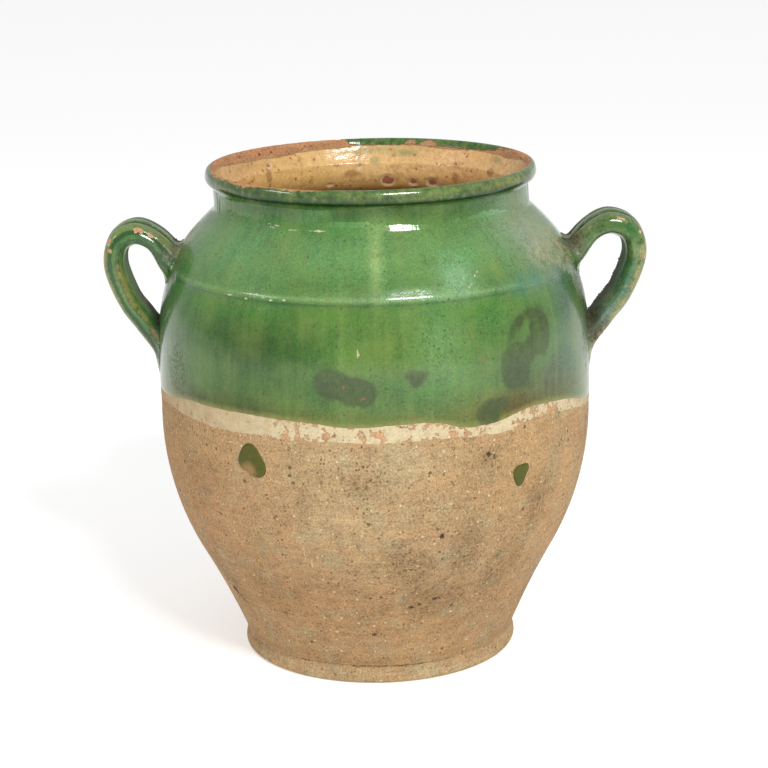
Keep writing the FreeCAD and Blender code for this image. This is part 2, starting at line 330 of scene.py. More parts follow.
# %% Make the outline an object that a tree can read
outline_mesh = bpy.data.meshes.new("outline")
outline_mesh.from_pydata([(x, 0, z) for x, z in outline],
                         [(n, n + 1) for n in range(len(outline) - 1)], [])
outline_guide = bpy.data.objects.new("outline", outline_mesh)
print("the guide that every pattern follows has", len(outline_mesh.edges), "edges")

# %% [markdown]
# The wrapping tree looks up each corner of the pattern on the outline: the point at its
# distance, and the course of the outline there, which says which way is outward.

# %% Look up a corner on the outline
wrap = new_tree("wrap_round_the_pot", (
    ("Outline", "NodeSocketObject", None),
    ("Ring Spacing", "NodeSocketFloat", 5.0),
    ("Ring Depth", "NodeSocketFloat", 0.25),
    ("Unevenness", "NodeSocketFloat", 0.3),
    ("Seed", "NodeSocketInt", 7),
    ("Finish", "NodeSocketMaterial", None),
))
given = add(wrap, "NodeGroupInput").outputs
place = add(wrap, "ShaderNodeSeparateXYZ", Vector=add(wrap, "GeometryNodeInputPosition"))
angle = add(wrap, MATH, "RADIANS", place.outputs["X"])
sine, cosine = add(wrap, MATH, "SINE", angle), add(wrap, MATH, "COSINE", angle)
guide = add(wrap, "GeometryNodeObjectInfo", Object=given["Outline"]).outputs["Geometry"]
profile = add(wrap, "GeometryNodeMeshToCurve", Mesh=guide)
spot = add(wrap, "GeometryNodeSampleCurve", mode="LENGTH",
           Curves=profile.outputs["Curve"], Length=place.outputs["Y"])
point = add(wrap, "ShaderNodeSeparateXYZ", Vector=spot.outputs["Position"]).outputs
course = add(wrap, "ShaderNodeSeparateXYZ", Vector=spot.outputs["Tangent"]).outputs
print("the tree's inputs:", ", ".join(item.name for item in wrap.interface.items_tree))

# %% [markdown]
# The potter's fingers left rings, and drying left the pot a little uneven. Both are noise,
# and both sink the surface, so that it never stands outside its box. The rings are noise
# that is wide round the pot and narrow along the outline. Both fade out at the standing
# face, which has to stay flat, and at the axis, where every corner of a row has to meet.

# %% Throwing rings and unevenness
UNEVEN_SPAN = 55  # mm, about as far as from one dent to the next
FOOT_FADE = (0.5, 9.0)  # heights in mm between which rings and dents set in
AXIS_FADE = (0.1, 9.0)  # and radii

ring_place = add(wrap, "ShaderNodeCombineXYZ", X=sine, Y=cosine,
                 Z=add(wrap, MATH, "DIVIDE", place.outputs["Y"], given["Ring Spacing"]))
rings = add(wrap, "ShaderNodeTexNoise", noise_dimensions="4D",
            Vector=ring_place, W=given["Seed"], Scale=1.0, Detail=1.0)
uneven_place = add(wrap, "ShaderNodeCombineXYZ",
                   X=add(wrap, MATH, "MULTIPLY", sine, point["X"]),
                   Y=add(wrap, MATH, "MULTIPLY", cosine, point["X"]), Z=point["Z"])
uneven = add(wrap, "ShaderNodeTexNoise", noise_dimensions="4D",
             Vector=uneven_place, W=given["Seed"], Scale=1 / UNEVEN_SPAN, Detail=1.0)
sunk = add(wrap, MATH, "ADD", add(wrap, MATH, "MULTIPLY", rings, given["Ring Depth"]),
           add(wrap, MATH, "MULTIPLY", uneven, given["Unevenness"]))
foot_fade, axis_fade = (
    add(wrap, "ShaderNodeMapRange", interpolation_type="SMOOTHSTEP",
        Value=value, From_Min=start, From_Max=end)
    for value, (start, end) in ((point["Z"], FOOT_FADE), (point["X"], AXIS_FADE)))
faded = add(wrap, MATH, "MULTIPLY", foot_fade, axis_fade)
print("rings and dents set in over %.1f mm of height" % (FOOT_FADE[1] - FOOT_FADE[0]))

# %% Step off the outline, turn round the axis and sew up
off = add(wrap, MATH, "SUBTRACT", place.outputs["Z"], add(wrap, MATH, "MULTIPLY", sunk, faded))
outward = add(wrap, MATH, "MULTIPLY", course["Z"], axis_fade)
radius = add(wrap, MATH, "MULTIPLY_ADD", outward, off, point["X"])
height = add(wrap, MATH, "SUBTRACT", point["Z"],
             add(wrap, MATH, "MULTIPLY", course["X"], off))
wrapped = add(wrap, "ShaderNodeCombineXYZ", X=add(wrap, MATH, "MULTIPLY", radius, sine),
              Y=add(wrap, MATH, "MULTIPLY", radius, add(wrap, MATH, "MULTIPLY", cosine, -1.0)),
              Z=height)
end_tree(wrap, sew_up(wrap, given["Geometry"], wrapped), given["Finish"])
print("the wrapping tree has", len(wrap.nodes), "nodes")

# %% [markdown]
# A modifier's inputs are set by their identifiers, before the object is looked at for the
# first time. The evaluated result is then kept as a plain mesh, and the modifier is gone
# before the frame hears of the piece.

# %% Turn a pattern into a finished piece


def make_piece(name, mesh, tree, finish, **settings):
    """Runs a tree on a mesh and keeps the result as a plain piece."""
    piece = bpy.data.objects.new(name, mesh)
    scene.collection.objects.link(piece)
    modifier = piece.modifiers.new(name, "NODES")
    modifier.node_group = tree
    identifiers = {item.name: item.identifier for item in tree.interface.items_tree
                   if item.item_type == "SOCKET" and item.in_out == "INPUT"}
    for label, value in {"Finish": finish, **settings}.items():
        modifier[identifiers[label.replace("_", " ")]] = value
    result = piece.evaluated_get(bpy.context.evaluated_depsgraph_get())
    plain = bpy.data.meshes.new_from_object(result)
    piece.modifiers.clear()
    piece.data = plain
    plain.name = name
    print("%s: %d faces, %s mm" % (name, len(plain.polygons),
                                   [round(side / MM) for side in piece.dimensions]))
    return piece


GUIDE = {"Outline": outline_guide, "Ring_Spacing": 5.0, "Ring_Depth": 0.25, "Unevenness": 0.3}
print("every coat gets the same rings, %.0f mm apart" % GUIDE["Ring_Spacing"])

# %% Read, move and mark the corners of a mesh


def keep_values(mesh, name, values):
    """Stores one number for each corner of a mesh, for a tree or a finish to read."""
    mesh.attributes.new(name, "FLOAT", "POINT").data.foreach_set(
        "value", np.asarray(values, np.float32).ravel())


def corners_of(mesh, name=None):
    """The corners of a mesh as rows of three, or a vector that they carry."""
    numbers = np.empty(len(mesh.vertices) * 3, np.float32)
    if name:
        mesh.attributes[name].data.foreach_get("vector", numbers)
    else:
        mesh.vertices.foreach_get("co", numbers)
    return numbers.reshape(-1, 3).astype(float)


def move_corners(mesh, corners):
    """Puts the corners of a mesh at the given places."""
    mesh.vertices.foreach_set("co", corners.astype(np.float32).ravel())
    mesh.update()


def press(pattern, depths):
    """Moves the corners of a pattern off the wall, or into it where a depth is negative."""
    corners = corners_of(pattern)
    corners[:, 2] += depths
    move_corners(pattern, corners)


print("the guide's own corners end at", corners_of(outline_mesh)[-1].round(1))

# %% [markdown]
# A flat pattern is a net of four-sided faces. It is also the piece's own flat map, for
# baking: each panel of the map takes the columns between two shares of the way round, and
# fills the map between two heights. Faces that nobody sees get less of the map.

# %% Cut a flat pattern
SIDE_MARGIN, BAND_MARGIN = 0.005, 0.003  # shares of the map, left free round a panel
STACKED = ((0, 0.5, 0, 0.5), (0.5, 1, 0.5, 1))  # half of the way round above the other half


def flat_pattern(name, across, up, off, ring=False, panels=((0, 1, 0, 1),), weights=None):
    """A net of corners, columns by rows. A ring joins its last row to its first.

    A row's weight says how much of a panel its faces get for their real height.
    """
    columns, rows = up.shape
    across = np.broadcast_to(across.reshape(columns, -1), up.shape)
    corners = np.stack((across, up, off), 2).reshape(-1, 3)
    column, row = np.meshgrid(np.arange(columns - 1), np.arange(rows if ring else rows - 1),
                              indexing="ij")
    beyond = (row + 1) % rows
    faces = np.stack((column * rows + row, (column + 1) * rows + row,
                      (column + 1) * rows + beyond, column * rows + beyond), 2).reshape(-1, 4)
    mesh = bpy.data.meshes.new(name)
    mesh.from_pydata(corners.tolist(), [], faces.tolist())

    middle = columns // 2
    steps = np.hypot(np.roll(up[middle], -1) - up[middle], np.roll(off[middle], -1) - off[middle])
    steps = steps[:row.shape[1]] * (1 if weights is None else weights)
    level = np.concatenate(([0], np.cumsum(steps))) / steps.sum()
    share = column / (columns - 1)
    flat = np.zeros(row.shape + (4, 2))
    for start, end, low, high in panels:
        inside = (share >= start) & (share < end)
        used = 1 - 2 * SIDE_MARGIN
        left = SIDE_MARGIN + used * (share - start) / (end - start)
        wide = used / (columns - 1) / (end - start)
        low, tall = low + BAND_MARGIN, high - low - 2 * BAND_MARGIN
        bottom, top = low + tall * level[row], low + tall * level[row + 1]
        panel = np.stack([np.stack((left + wide * x, y), 2)
                          for x, y in ((0, bottom), (1, bottom), (1, top), (0, top))], 2)
        flat[inside] = panel[inside]
    mesh.uv_layers.new(name="OFBake").data.foreach_set("uv", flat.astype(np.float32).ravel())
    return mesh


print("a map's panels lie %.1f %% apart" % (200 * BAND_MARGIN))

# %% [markdown]
# ## Marks, and broad changes of colour
# A used pot has two kinds of marks. Chips, stains and dirt have an edge, so each kind is
# kept on the mesh as a distance in millimetres to that edge, less than nothing inside it.
# A finish then draws the edge as fine and as ragged as it needs, whatever the mesh's own
# spacing. The colour of a glaze drifts without edges, where it ran thick or thin, so that
# is kept as a tint that is dabbed on softly, one dab over another.

# %% Measure from a mark
FAR_FROM_MARK = 20.0


def pattern_places(mesh):
    """Angle, distance along the outline and radius for each corner of a flat pattern."""
    angles, runs = corners_of(mesh)[:, :2].T
    return angles, runs, np.interp(runs, along, outline[:, 0])


def offsets(places, angle, run):
    """How far each corner lies to the right of a spot and above it, in millimetres."""
    angles, runs, radii = places
    return np.radians((angles - angle + 180) % 360 - 180) * radii, runs - run


def mark_distance(places, rows):
    """Distance to the nearest mark's edge. Rows: angle, run, half width, half height, tilt."""
    nearest = np.full(len(places[0]), FAR_FROM_MARK)
    for angle, run, half_width, half_height, tilt in rows:
        right, up = offsets(places, angle, run)
        turn = math.radians(tilt)
        level = (right * math.cos(turn) + up * math.sin(turn)) / half_width
        upright = (up * math.cos(turn) - right * math.sin(turn)) / half_height
        reach = (np.hypot(level, upright) - 1) * min(half_width, half_height)
        nearest = np.minimum(nearest, reach)
    return nearest


print("marks farther off than %.0f mm are not told apart" % FAR_FROM_MARK)

# %% Dab on a tint


def dab(places, ground, rows):
    """A tint for each corner. Rows: angle, run, reach to the side, reach up, colour, strength."""
    tint = np.tile(paint(ground), (len(places[0]), 1))
    for angle, run, wide, high, colour, strength in rows:
        right, up = offsets(places, angle, run)
        weight = strength * np.exp(-(right / wide) ** 2 - (up / high) ** 2)
        tint += (np.array(paint(colour)) - tint) * weight[:, None]
    return tint


def keep_tint(mesh, tint):
    """Stores a colour for each corner of a mesh, for a finish to read."""
    mesh.attributes.new("tint", "FLOAT_COLOR", "POINT").data.foreach_set(
        "color", tint.astype(np.float32).ravel())


print("at its reach a dab has faded to %.0f %%" % (100 * math.exp(-1)))

# %% [markdown]
# ## How a finish is built up
# Every finish below starts in the same way: a shader, and a place on the object measured in
# millimetres, so that each pattern gets its real size. Colour and relief are then sums of
# noises, from drifts as wide as a hand down to the grit in the clay, because a fired surface
# varies at every size. A few small groups of nodes come back in all of them. One pixel of
# the picture is about 0.7 mm, so grain that is finer than that on the real pot is drawn
# 0.8 to 1.4 mm wide, the finest that still shows.

# %% Start a finish, let it vary, and end it
GRAIN = 0.62  # how much of each noise is fine


def start_finish(name):
    """A new material with its tree, and places on the object in millimetres."""
    finish = bpy.data.materials.new(name)
    finish.use_nodes = True
    tree = finish.node_tree
    tree.nodes.remove(tree.nodes["Principled BSDF"])
    place = add(tree, "ShaderNodeTexCoord").outputs["Object"]
    return finish, tree, add(tree, VECTOR, "SCALE", place, Scale=1 / MM)


def varied(tree, start, *layers):
    """A number that noises push up and down: rows of place, size in mm, detail, strength."""
    total = start
    for place, size, detail, strength in layers:
        noise = add(tree, "ShaderNodeTexNoise", Vector=place, Scale=1 / size, Detail=detail,
                    Roughness=GRAIN)
        centred = add(tree, MATH, "SUBTRACT", noise, 0.5)
        total = add(tree, MATH, "MULTIPLY_ADD", centred, strength, total)
    return total


def finish_off(tree, relief, **inputs):
    """Ends a finish with its shader and a relief in millimetres."""
    bump = add(tree, "ShaderNodeBump", Height=relief, Distance=MM)
    shader = add(tree, "ShaderNodeBsdfPrincipled", Normal=bump, **inputs)
    tree.links.new(shader.outputs[0], tree.nodes["Material Output"].inputs["Surface"])


print("places in a finish are in millimetres: 1 m is", 1 / MM)

# %% [markdown]
# A mark is read back from its kept distance, made ragged by noise and then cut. Specks are
# the cells of a Voronoi pattern: each cell draws a lot, which says whether it has a speck
# and how large it is. Marks and specks are then laid over a ground colour, one by one.

# %% Marks, specks, and colours laid over one another


def inside_mark(tree, place, name, wander, size, soft=0.25):
    """1 inside a kind of mark and 0 outside. Its edge wanders by some mm at some size."""
    distance = add(tree, "ShaderNodeAttribute", attribute_name=name).outputs["Fac"]
    moved = varied(tree, distance, (place, size, 4, 4 * wander))
    return add(tree, "ShaderNodeMapRange", moved, soft, -soft)


def specks(tree, place, spacing, share, size):
    """1 in scattered specks and 0 elsewhere. Spacing and size are in millimetres."""
    waver = add(tree, "ShaderNodeTexNoise", Vector=place, Scale=1 / size).outputs["Color"]
    bent = add(tree, VECTOR, "MULTIPLY_ADD", waver, (size, size, size), place)
    cells = add(tree, "ShaderNodeTexVoronoi", Vector=bent, Scale=1 / spacing)
    lot = add(tree, "ShaderNodeSeparateColor", cells.outputs["Color"])
    drawn = add(tree, MATH, "LESS_THAN", lot.outputs["Red"], share)
    reach = add(tree, MATH, "MULTIPLY", lot.outputs["Green"], size / spacing)
    near = add(tree, MATH, "LESS_THAN", cells.outputs["Distance"], reach)
    return add(tree, MATH, "MULTIPLY", near, drawn)


def laid_over(tree, colour, layers):
    """Colours laid one over another. Rows: share, strength, and a colour or its code."""
    for share, strength, over in layers:
        over = paint(over) if isinstance(over, str) else over
        share = add(tree, MATH, "MULTIPLY", share, strength, use_clamp=True)
        colour = add(tree, "ShaderNodeMix", share, colour, over, data_type="RGBA")
    return colour


print("marks are soft over half a millimetre unless a finish says otherwise")

# %% [markdown]
# ## Bare earthenware
# The clay is an iron-poor earthenware, thrown on a wheel, dried and fired once. It has no
# glaze, so it is dull, and its colour drifts from buff to pinkish orange, paler where it was
# wiped and greyer where soot and damp got in. Throwing left fine level lines. Grit shows as
# dark pits and pale flecks of 0.3 to 1 mm. This look is used for the bare wall, and again
# wherever a chip lays the clay open.

# %% The look of the clay
LINE_SPACING = 2.2  # mm from one level line to the next
LEVEL = (0.06, 0.06, 1)  # squeezes places, so that noise becomes level lines
FLECKS_ASIDE = (31, 17, 5)  # so that flecks don't sit in the pits


def clay_look(tree, place, ground):
    """Colour and relief of bare clay on a given ground colour."""
    level = add(tree, VECTOR, "MULTIPLY", place, LEVEL)
    light = varied(tree, 0.93, (place, 34, 3, 0.4), (place, 7, 4, 0.6), (place, 1.4, 4, 1.3),
                   (place, 0.8, 2, 1.3), (level, LINE_SPACING, 4, 0.45))
    pinkish, greyish = (varied(tree, 0.3, (place, 22, 3, 2.0)),
                        varied(tree, 0.0, (place, 15, 4, 2.4)))
    colour = laid_over(tree, ground, ((pinkish, 1.0, "AE885E"), (greyish, 1.0, "9C9472")))
    colour = add(tree, VECTOR, "SCALE", colour, Scale=light)
    gritty = varied(tree, 0.5, (place, 11, 3, 4.0))
    pits = add(tree, MATH, "MULTIPLY", specks(tree, place, 2.1, 0.5, 0.85), gritty,
               use_clamp=True)
    pits = add(tree, MATH, "MAXIMUM", pits, specks(tree, place, 7.5, 0.4, 1.3))
    flecks = specks(tree, add(tree, VECTOR, "ADD", place, FLECKS_ASIDE), 3.4, 0.35, 0.9)
    colour = laid_over(tree, colour, ((pits, 0.8, "54432F"), (flecks, 0.6, "D6C7A2")))
    relief = varied(tree, 0.0, (place, 1.3, 3, 0.3), (place, 6, 3, 0.5),
                    (level, LINE_SPACING, 3, 0.25))
    return colour, add(tree, MATH, "MULTIPLY_ADD", pits, -0.3, relief)


print("the clay's level lines are about %.1f mm apart" % LINE_SPACING)

# %% [markdown]
# ## Where the coats end
# The potter held the pot by its foot and dipped it, so the lower edges of slip and glaze are
# wavy lines round the pot. They are given at the angles where they turn, as heights. Angle 0
# faces the camera and angles grow to the right. The unseen back carries on in the same way.
# A smooth curve joins the points, and a ragged line of small waves is added where an edge
# has flaked.

# %% Edge lines, and curves through them
GLAZE_EDGE = (
    (-160, 183), (-125, 179.5), (-95, 181), (-73, 182), (-68, 183), (-55, 186.6), (-45, 187),
    (-36, 187.6), (-25, 187), (-16, 186), (-8.5, 184), (-1, 184), (6, 185), (16, 184.4),
    (23, 179.8), (28, 179.7), (32, 180.4), (37, 182.7), (42, 184.4), (49, 183.5), (58, 181),
    (67, 175.8), (74, 172), (92, 173), (118, 178), (150, 181),
)
SLIP_EDGE = (
    (-160, 174), (-125, 171), (-95, 174), (-72, 176), (-67, 176.6), (-55, 175.6), (-45, 174.4),
    (-32, 175.3), (-21, 174.5), (-9, 174.8), (5.5, 173.7), (15.5, 174.3), (23, 174),
    (37, 173.4), (42.5, 176.3), (52, 175.7), (65, 171), (72, 168), (92, 167), (118, 171),
    (150, 173),
)
FINER_IS_LOWER = 0.6  # the power by which a wave is lower the more of them go round


def edge_line(points, angles):
    """Heights of an edge at some angles: a smooth closed curve through its points."""
    turns, heights = np.array(points, float).T
    turns = np.concatenate((turns[-2:] - 360, turns, turns[:2] + 360))
    heights = np.concatenate((heights[-2:], heights, heights[:2]))
    slopes = np.gradient(heights, turns)
    wrapped = (np.asarray(angles) + 180) % 360 - 180
    after = np.clip(np.searchsorted(turns, wrapped, side="right"), 1, len(turns) - 1)
    width = turns[after] - turns[after - 1]
    share = (wrapped - turns[after - 1]) / width
    start, end = heights[after - 1], heights[after]
    bend = slopes[after - 1] * width * share * (1 - share) ** 2
    bend -= slopes[after] * width * (1 - share) * share ** 2
    return start + (end - start) * share ** 2 * (3 - 2 * share) + bend


def ragged(angles, finest, coarsest, seed):
    """Waves from coarsest to finest in number round the pot, at most 1 high together."""
    dice = np.random.default_rng(seed)
    counts = np.arange(coarsest, finest)
    phases = dice.uniform(0, math.tau, len(counts))
    sizes = dice.normal(0, 1, len(counts)) / counts ** FINER_IS_LOWER
    waves = np.sin(np.radians(np.asarray(angles))[:, None] * counts + phases) @ sizes
    return waves / np.abs(waves).max()


heights = [height for _, height in GLAZE_EDGE]
print("the glaze edge runs from %.0f to %.0f mm up" % (min(heights), max(heights)))

# %% [markdown]
# ## The bare clay wall
# The clay runs all the way through, so this piece is the whole vessel, from the axis under
# the foot to the axis on the inside floor. It lies a hair under the outline, and deeper
# where a coat hides it, so that the coat has room. Its rows are close where bare clay shows
# and wide where it is hidden.

# %% Throw the clay body
CLAY_UNDER, SLIP_UNDER, GLAZE_UNDER = 0.45, 0.2, 0.03  # mm under the outline
SUNK = 1.2  # mm more where a coat hides the clay
COATED = (196, 312)  # heights between which the green coat hides it
LINED_FROM = 12  # mm beyond the lip, from where the lining hides it
SINKS_OVER = 4  # mm along the outline
STANDS_BELOW = 12  # height below which the clay comes out to the standing face
CLAY_ROWS = (
    # from, to and step along the outline, in millimetres
    (0, 80, 16), (80, 103, 0.9), (103, 290, 2.1), (290, 380, 5), (380, 440, 1.0),
    (440, 845, 12),
)
CLAY_COLUMNS = 420
PAST_THE_END = 0.1  # mm, so that the last row closes on the axis
SHOWN = ((78, run_at(192)), (395, 450))  # where bare clay is seen, along the outline
HIDDEN_WEIGHT = 0.08


def rows_of(table, last):
    """Places along the outline from rows of from, to and step."""
    runs = [np.arange(start, end, step) for start, end, step in table]
    return np.append(np.concatenate(runs), last)


clay_rows = rows_of(CLAY_ROWS, along[-1] + PAST_THE_END)
clay_angles = np.linspace(-180, 180, CLAY_COLUMNS + 1)
up = np.broadcast_to(clay_rows, (len(clay_angles), len(clay_rows)))
stands = np.clip(np.interp(up, along, outline[:, 1]) / STANDS_BELOW, 0, 1)
low, high = (run_at(height) for height in COATED)
hidden = np.clip(np.minimum(up - low, high - up) / SINKS_OVER, 0, 1)
hidden += np.clip((up - along[LIP] - LINED_FROM) / SINKS_OVER, 0, 1)
under = -CLAY_UNDER * np.where(up > along[LIP], 1, stands) - SUNK * hidden
starts = clay_rows[:-1]
shown = np.any([(starts > low) & (starts < high) for low, high in SHOWN], axis=0)
clay_pattern = flat_pattern("clay_body", clay_angles, up, under, panels=STACKED,
                            weights=np.where(shown, 1, HIDDEN_WEIGHT))
print("the clay pattern has", len(clay_pattern.polygons), "faces")

# %% [markdown]
# The marks of the wall are written down one by one, as places round and up the pot. The
# first table is the drift of colour: orange at the left and low down, a paler wiped middle,
# grey stains to the right, and a pale foot. Every table of marks has the same columns.

# %% Write down the marks of the clay
CLAY_TINT = (
    # angle, height, reach sideways and up in mm, colour, strength
    (0, 45, 1e4, 50, "9A7B54", 0.6), (-62, 130, 60, 90, "A37C52", 0.9),
    (-2, 150, 40, 40, "AB9C76", 0.8), (38, 140, 44, 50, "A98A5E", 0.8),
    (-30, 62, 40, 26, "946F46", 0.7), (20, 95, 26, 30, "9C8260", 0.7),
    (10, 50, 60, 22, "9A7850", 0.6), (62, 130, 24, 60, "B08E62", 0.7),
    (0, 5, 1e4, 6, "B09A74", 0.9), (0, 15, 1e4, 4, "8C6C44", 0.5),
    (-45, 165, 50, 12, "A98A60", 0.6), (130, 120, 60, 60, "A37E56", 0.8),
    (-140, 100, 60, 60, "AA8C60", 0.8), (0, 318, 1e4, 20, "C4855C", 1.0),
)
GRIME = (
    # angle, height, half width and half height in mm, tilt in degrees
    (39, 79, 16, 24, -24), (17, 64, 24, 14, 0), (24, 98, 10, 24, 5), (8, 92, 16, 16, 0),
    (-60, 60, 7, 16, 30), (47, 118, 8, 16, 0), (29, 158, 5, 4, 0), (-3, 148, 10, 7, 0),
    (150, 80, 26, 16, 0), (-160, 130, 18, 24, 0),
)
DARK_PITS = (
    (29, 161, 2.2, 1.6, 0), (31, 158.5, 1.4, 1.4, 0), (28, 157, 1.0, 1.6, 0),
    (17, 111, 1.6, 2.4, 0), (-61, 51.5, 2.6, 3.6, 30), (-58, 47, 1.2, 4.0, 30),
    (18, 63, 3.0, 1.2, 10), (13, 60.5, 1.6, 1.2, 0), (10, 58, 2.2, 0.9, 0),
    (-2, 37, 2.0, 1.2, 0), (-27, 124, 1.2, 1.2, 0), (-14, 163, 1.0, 0.9, 0),
    (3, 137, 0.9, 0.8, 0), (-8, 122, 0.9, 1.2, 0), (9, 88, 1.3, 0.9, 0),
    (-5, 157, 1.2, 1.0, 0), (22, 66, 1.4, 1.0, 0), (145, 70, 2.4, 1.8, 0),
    (-120, 90, 1.6, 2.2, 0),
)
CREASES = (
    (-24, 11.4, 26, 0.35, 1), (6, 11.2, 30, 0.4, 0), (-66, 52, 0.6, 12, 34),
    (120, 11.3, 60, 0.4, 0), (-140, 11.3, 50, 0.35, 0),
)
SCRATCHES = (
    (-20.5, 96, 0.35, 25, 3), (-18.8, 92, 0.35, 20, 3), (-22, 75, 0.3, 12, 8),
    (-40, 168, 14, 0.3, -6), (33, 100, 0.35, 16, -2),
)


def on_wall(rows):
    """Rows given by angle and height, as rows by angle and distance along the outline."""
    return [(angle, run_at(height), *rest) for angle, height, *rest in rows]


print("marks on the bare wall:", len(GRIME) + len(DARK_PITS) + len(SCRATCHES) + len(CREASES))

# %% [markdown]
# Larger pits and scratches are also real dents in the pattern, and so is the crease that
# the potter's tool left all round above the foot. The creases are drawn with a dark line
# of painted shade.

# %% Tint and mark the clay, and press the dents in
CLAY_GROUND = "AB8D66"
PIT_DEPTH, SCRATCH_DEPTH, CREASE_DEPTH = 0.9, 0.25, 0.35
CREASE_HEIGHT, CREASE_WIDTH = 11.3, 1.1

clay_places = pattern_places(clay_pattern)
keep_tint(clay_pattern, dab(clay_places, CLAY_GROUND, on_wall(CLAY_TINT)))
CLAY_MARKS = {"grime": GRIME, "pit": DARK_PITS, "scratch": SCRATCHES, "crease": CREASES}
to_mark = {name: mark_distance(clay_places, on_wall(rows))
           for name, rows in CLAY_MARKS.items()}
for name, values in to_mark.items():
    keep_values(clay_pattern, name, values)
dents = -PIT_DEPTH * np.clip(-to_mark["pit"], 0, 1)
dents -= SCRATCH_DEPTH * np.clip(0.5 - to_mark["scratch"], 0, 1)
from_crease = clay_places[1] - run_at(CREASE_HEIGHT)
dents -= CREASE_DEPTH * np.exp(-(from_crease / CREASE_WIDTH) ** 2)
press(clay_pattern, dents)
print("the deepest dent is %.1f mm" % -dents.min())

# %% Finish the clay
# Unglazed clay: dull from every side, with hardly any shine even at a grazing look.
bare_clay, tree, place = start_finish("bare_earthenware_clay")
tint = add(tree, "ShaderNodeAttribute", attribute_name="tint").outputs["Color"]
colour, relief = clay_look(tree, place, tint)
grime = inside_mark(tree, place, "grime", 6, 9, 5.0)
soot = varied(tree, 0.6, (place, 1.7, 4, 3.4), (place, 6, 3, 1.6))
grime = add(tree, MATH, "MULTIPLY", grime, add(tree, "ShaderNodeClamp", soot))
pits = inside_mark(tree, place, "pit", 0.9, 1.6)
scratch = inside_mark(tree, place, "scratch", 0.5, 3)
around_grime = inside_mark(tree, place, "grime", 9, 14, 19.0)
pocks = add(tree, MATH, "MAXIMUM", specks(tree, place, 1.8, 0.6, 0.9),
            specks(tree, place, 3.7, 0.6, 1.5))
pocks = add(tree, MATH, "MULTIPLY", pocks, around_grime)
crease = inside_mark(tree, place, "crease", 0.5, 4)
colour = laid_over(tree, colour, (
    (grime, 0.42, "5A4226"), (pocks, 0.62, "4C3823"), (scratch, 0.55, "CDB892"),
    # painted shade: the dark line in the creases
    (crease, 0.8, "46341F"), (pits, 0.9, "2E251C"),
))
finish_off(tree, relief, Base_Color=colour, Roughness=0.85, Specular_IOR_Level=0.3)

clay_body = make_piece("clay_body", clay_pattern, wrap, bare_clay, **GUIDE)
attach(clay_body, "root")
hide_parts("thrown_vessel")

# %% [markdown]
# ## A coat
# A coat is a closed ring: an outer face of many rows, two edges that roll over onto the
# clay, and an inner face of a few rows that is buried in it. Its lower and upper edges may
# sit at another place at every angle. Slip, green glaze and amber glaze are all coats.

# %% The pattern of a coat
EDGE_ROLL = ((0.0, -0.9), (0.0, -0.35), (0.12, -0.12), (0.4, -0.02))  # in and off, in mm
EDGE_WIDTH = 0.8  # mm from the edge to where the even rows begin
COAT_DEPTH = 1.3  # mm from the outer face to the buried one
BURIED_WEIGHT = 0.05


def coat_pattern(name, angles, lower, upper, under, spacing, buried=9):
    """A coat between two edge lines along the outline. spacing gives its outer rows."""
    roll_up, roll_off = np.array(EDGE_ROLL).T
    shares = (spacing - spacing[0]) / (spacing[-1] - spacing[0])
    lower, upper = lower[:, None], upper[:, None]
    outer = lower + EDGE_WIDTH + (upper - lower - 2 * EDGE_WIDTH) * shares
    inner = upper + (lower - upper) * np.linspace(0, 1, buried + 2)[1:-1]
    up = np.hstack((lower + roll_up, outer, upper - roll_up[::-1], inner))
    off = np.concatenate((roll_off, np.zeros(outer.shape[1]), roll_off[::-1],
                          np.full(buried, -COAT_DEPTH)))
    weights = np.ones(up.shape[1])
    weights[-buried - 1:] = BURIED_WEIGHT
    return flat_pattern(name, angles, up, np.tile(off - under, (len(angles), 1)), ring=True,
                        panels=STACKED, weights=weights)


def values_round(places, table):
    """A value for each corner from rows of angle and value."""
    return np.interp(places[0], *np.array(table).T)


print("an edge rolls over in", len(EDGE_ROLL), "steps")

# %% [markdown]
# ## White slip
# Slip is thin white clay that was laid on under the glaze, so that the green stays bright.
# It shows as a cream band where the glaze stops short of it. It never bonded well here: it
# has flaked off in patches a few millimetres across, mostly in front and to the right, and
# the orange clay shows through them. Two values change round the pot: how worn the slip is,
# and how thin it was, which lets the clay's colour through.

# %% Lay the slip band
WEAR = (
    (-180, 0.6), (-75, 0.5), (-64, 0.35), (-58, 0.1), (-30, 0.0), (-25, 0.75), (-5, 0.75),
    (10, 0.5), (18, 0.9), (28, 0.8), (34, 0.25), (44, 0.95), (58, 0.5), (66, 0.3), (180, 0.6),
)
THIN = (
    (-180, 0.6), (-75, 0.9), (-50, 0.6), (-34, 0.3), (-20, 0.05), (60, 0.1), (78, 0.5),
    (180, 0.6),
)
UNDER_GLAZE = 3  # how far the slip goes on under the glaze, in mm of height

slip_angles = np.linspace(-180, 180, 961)
slip_lower = run_at(edge_line(SLIP_EDGE, slip_angles) + 0.8 * ragged(slip_angles, 260, 10, 5))
slip_upper = run_at(edge_line(GLAZE_EDGE, slip_angles) + UNDER_GLAZE)
slip_pattern = coat_pattern("white_slip_band", slip_angles, slip_lower, slip_upper,
                            SLIP_UNDER, np.linspace(0, 1, 13))
slip_places = pattern_places(slip_pattern)
from_edge = slip_places[1] - np.interp(slip_places[0], slip_angles, slip_lower)
for name, values in (("from_edge", from_edge), ("wear", values_round(slip_places, WEAR)),
                     ("thin", values_round(slip_places, THIN))):
    keep_values(slip_pattern, name, values)
print("the slip band is up to %.0f mm wide" % (slip_upper - slip_lower).max())

# %% [markdown]
# A flake is cut where noise, lowered where the slip is little worn, comes up above zero.
# Just short of that lies the flake's thin, brownish rim.

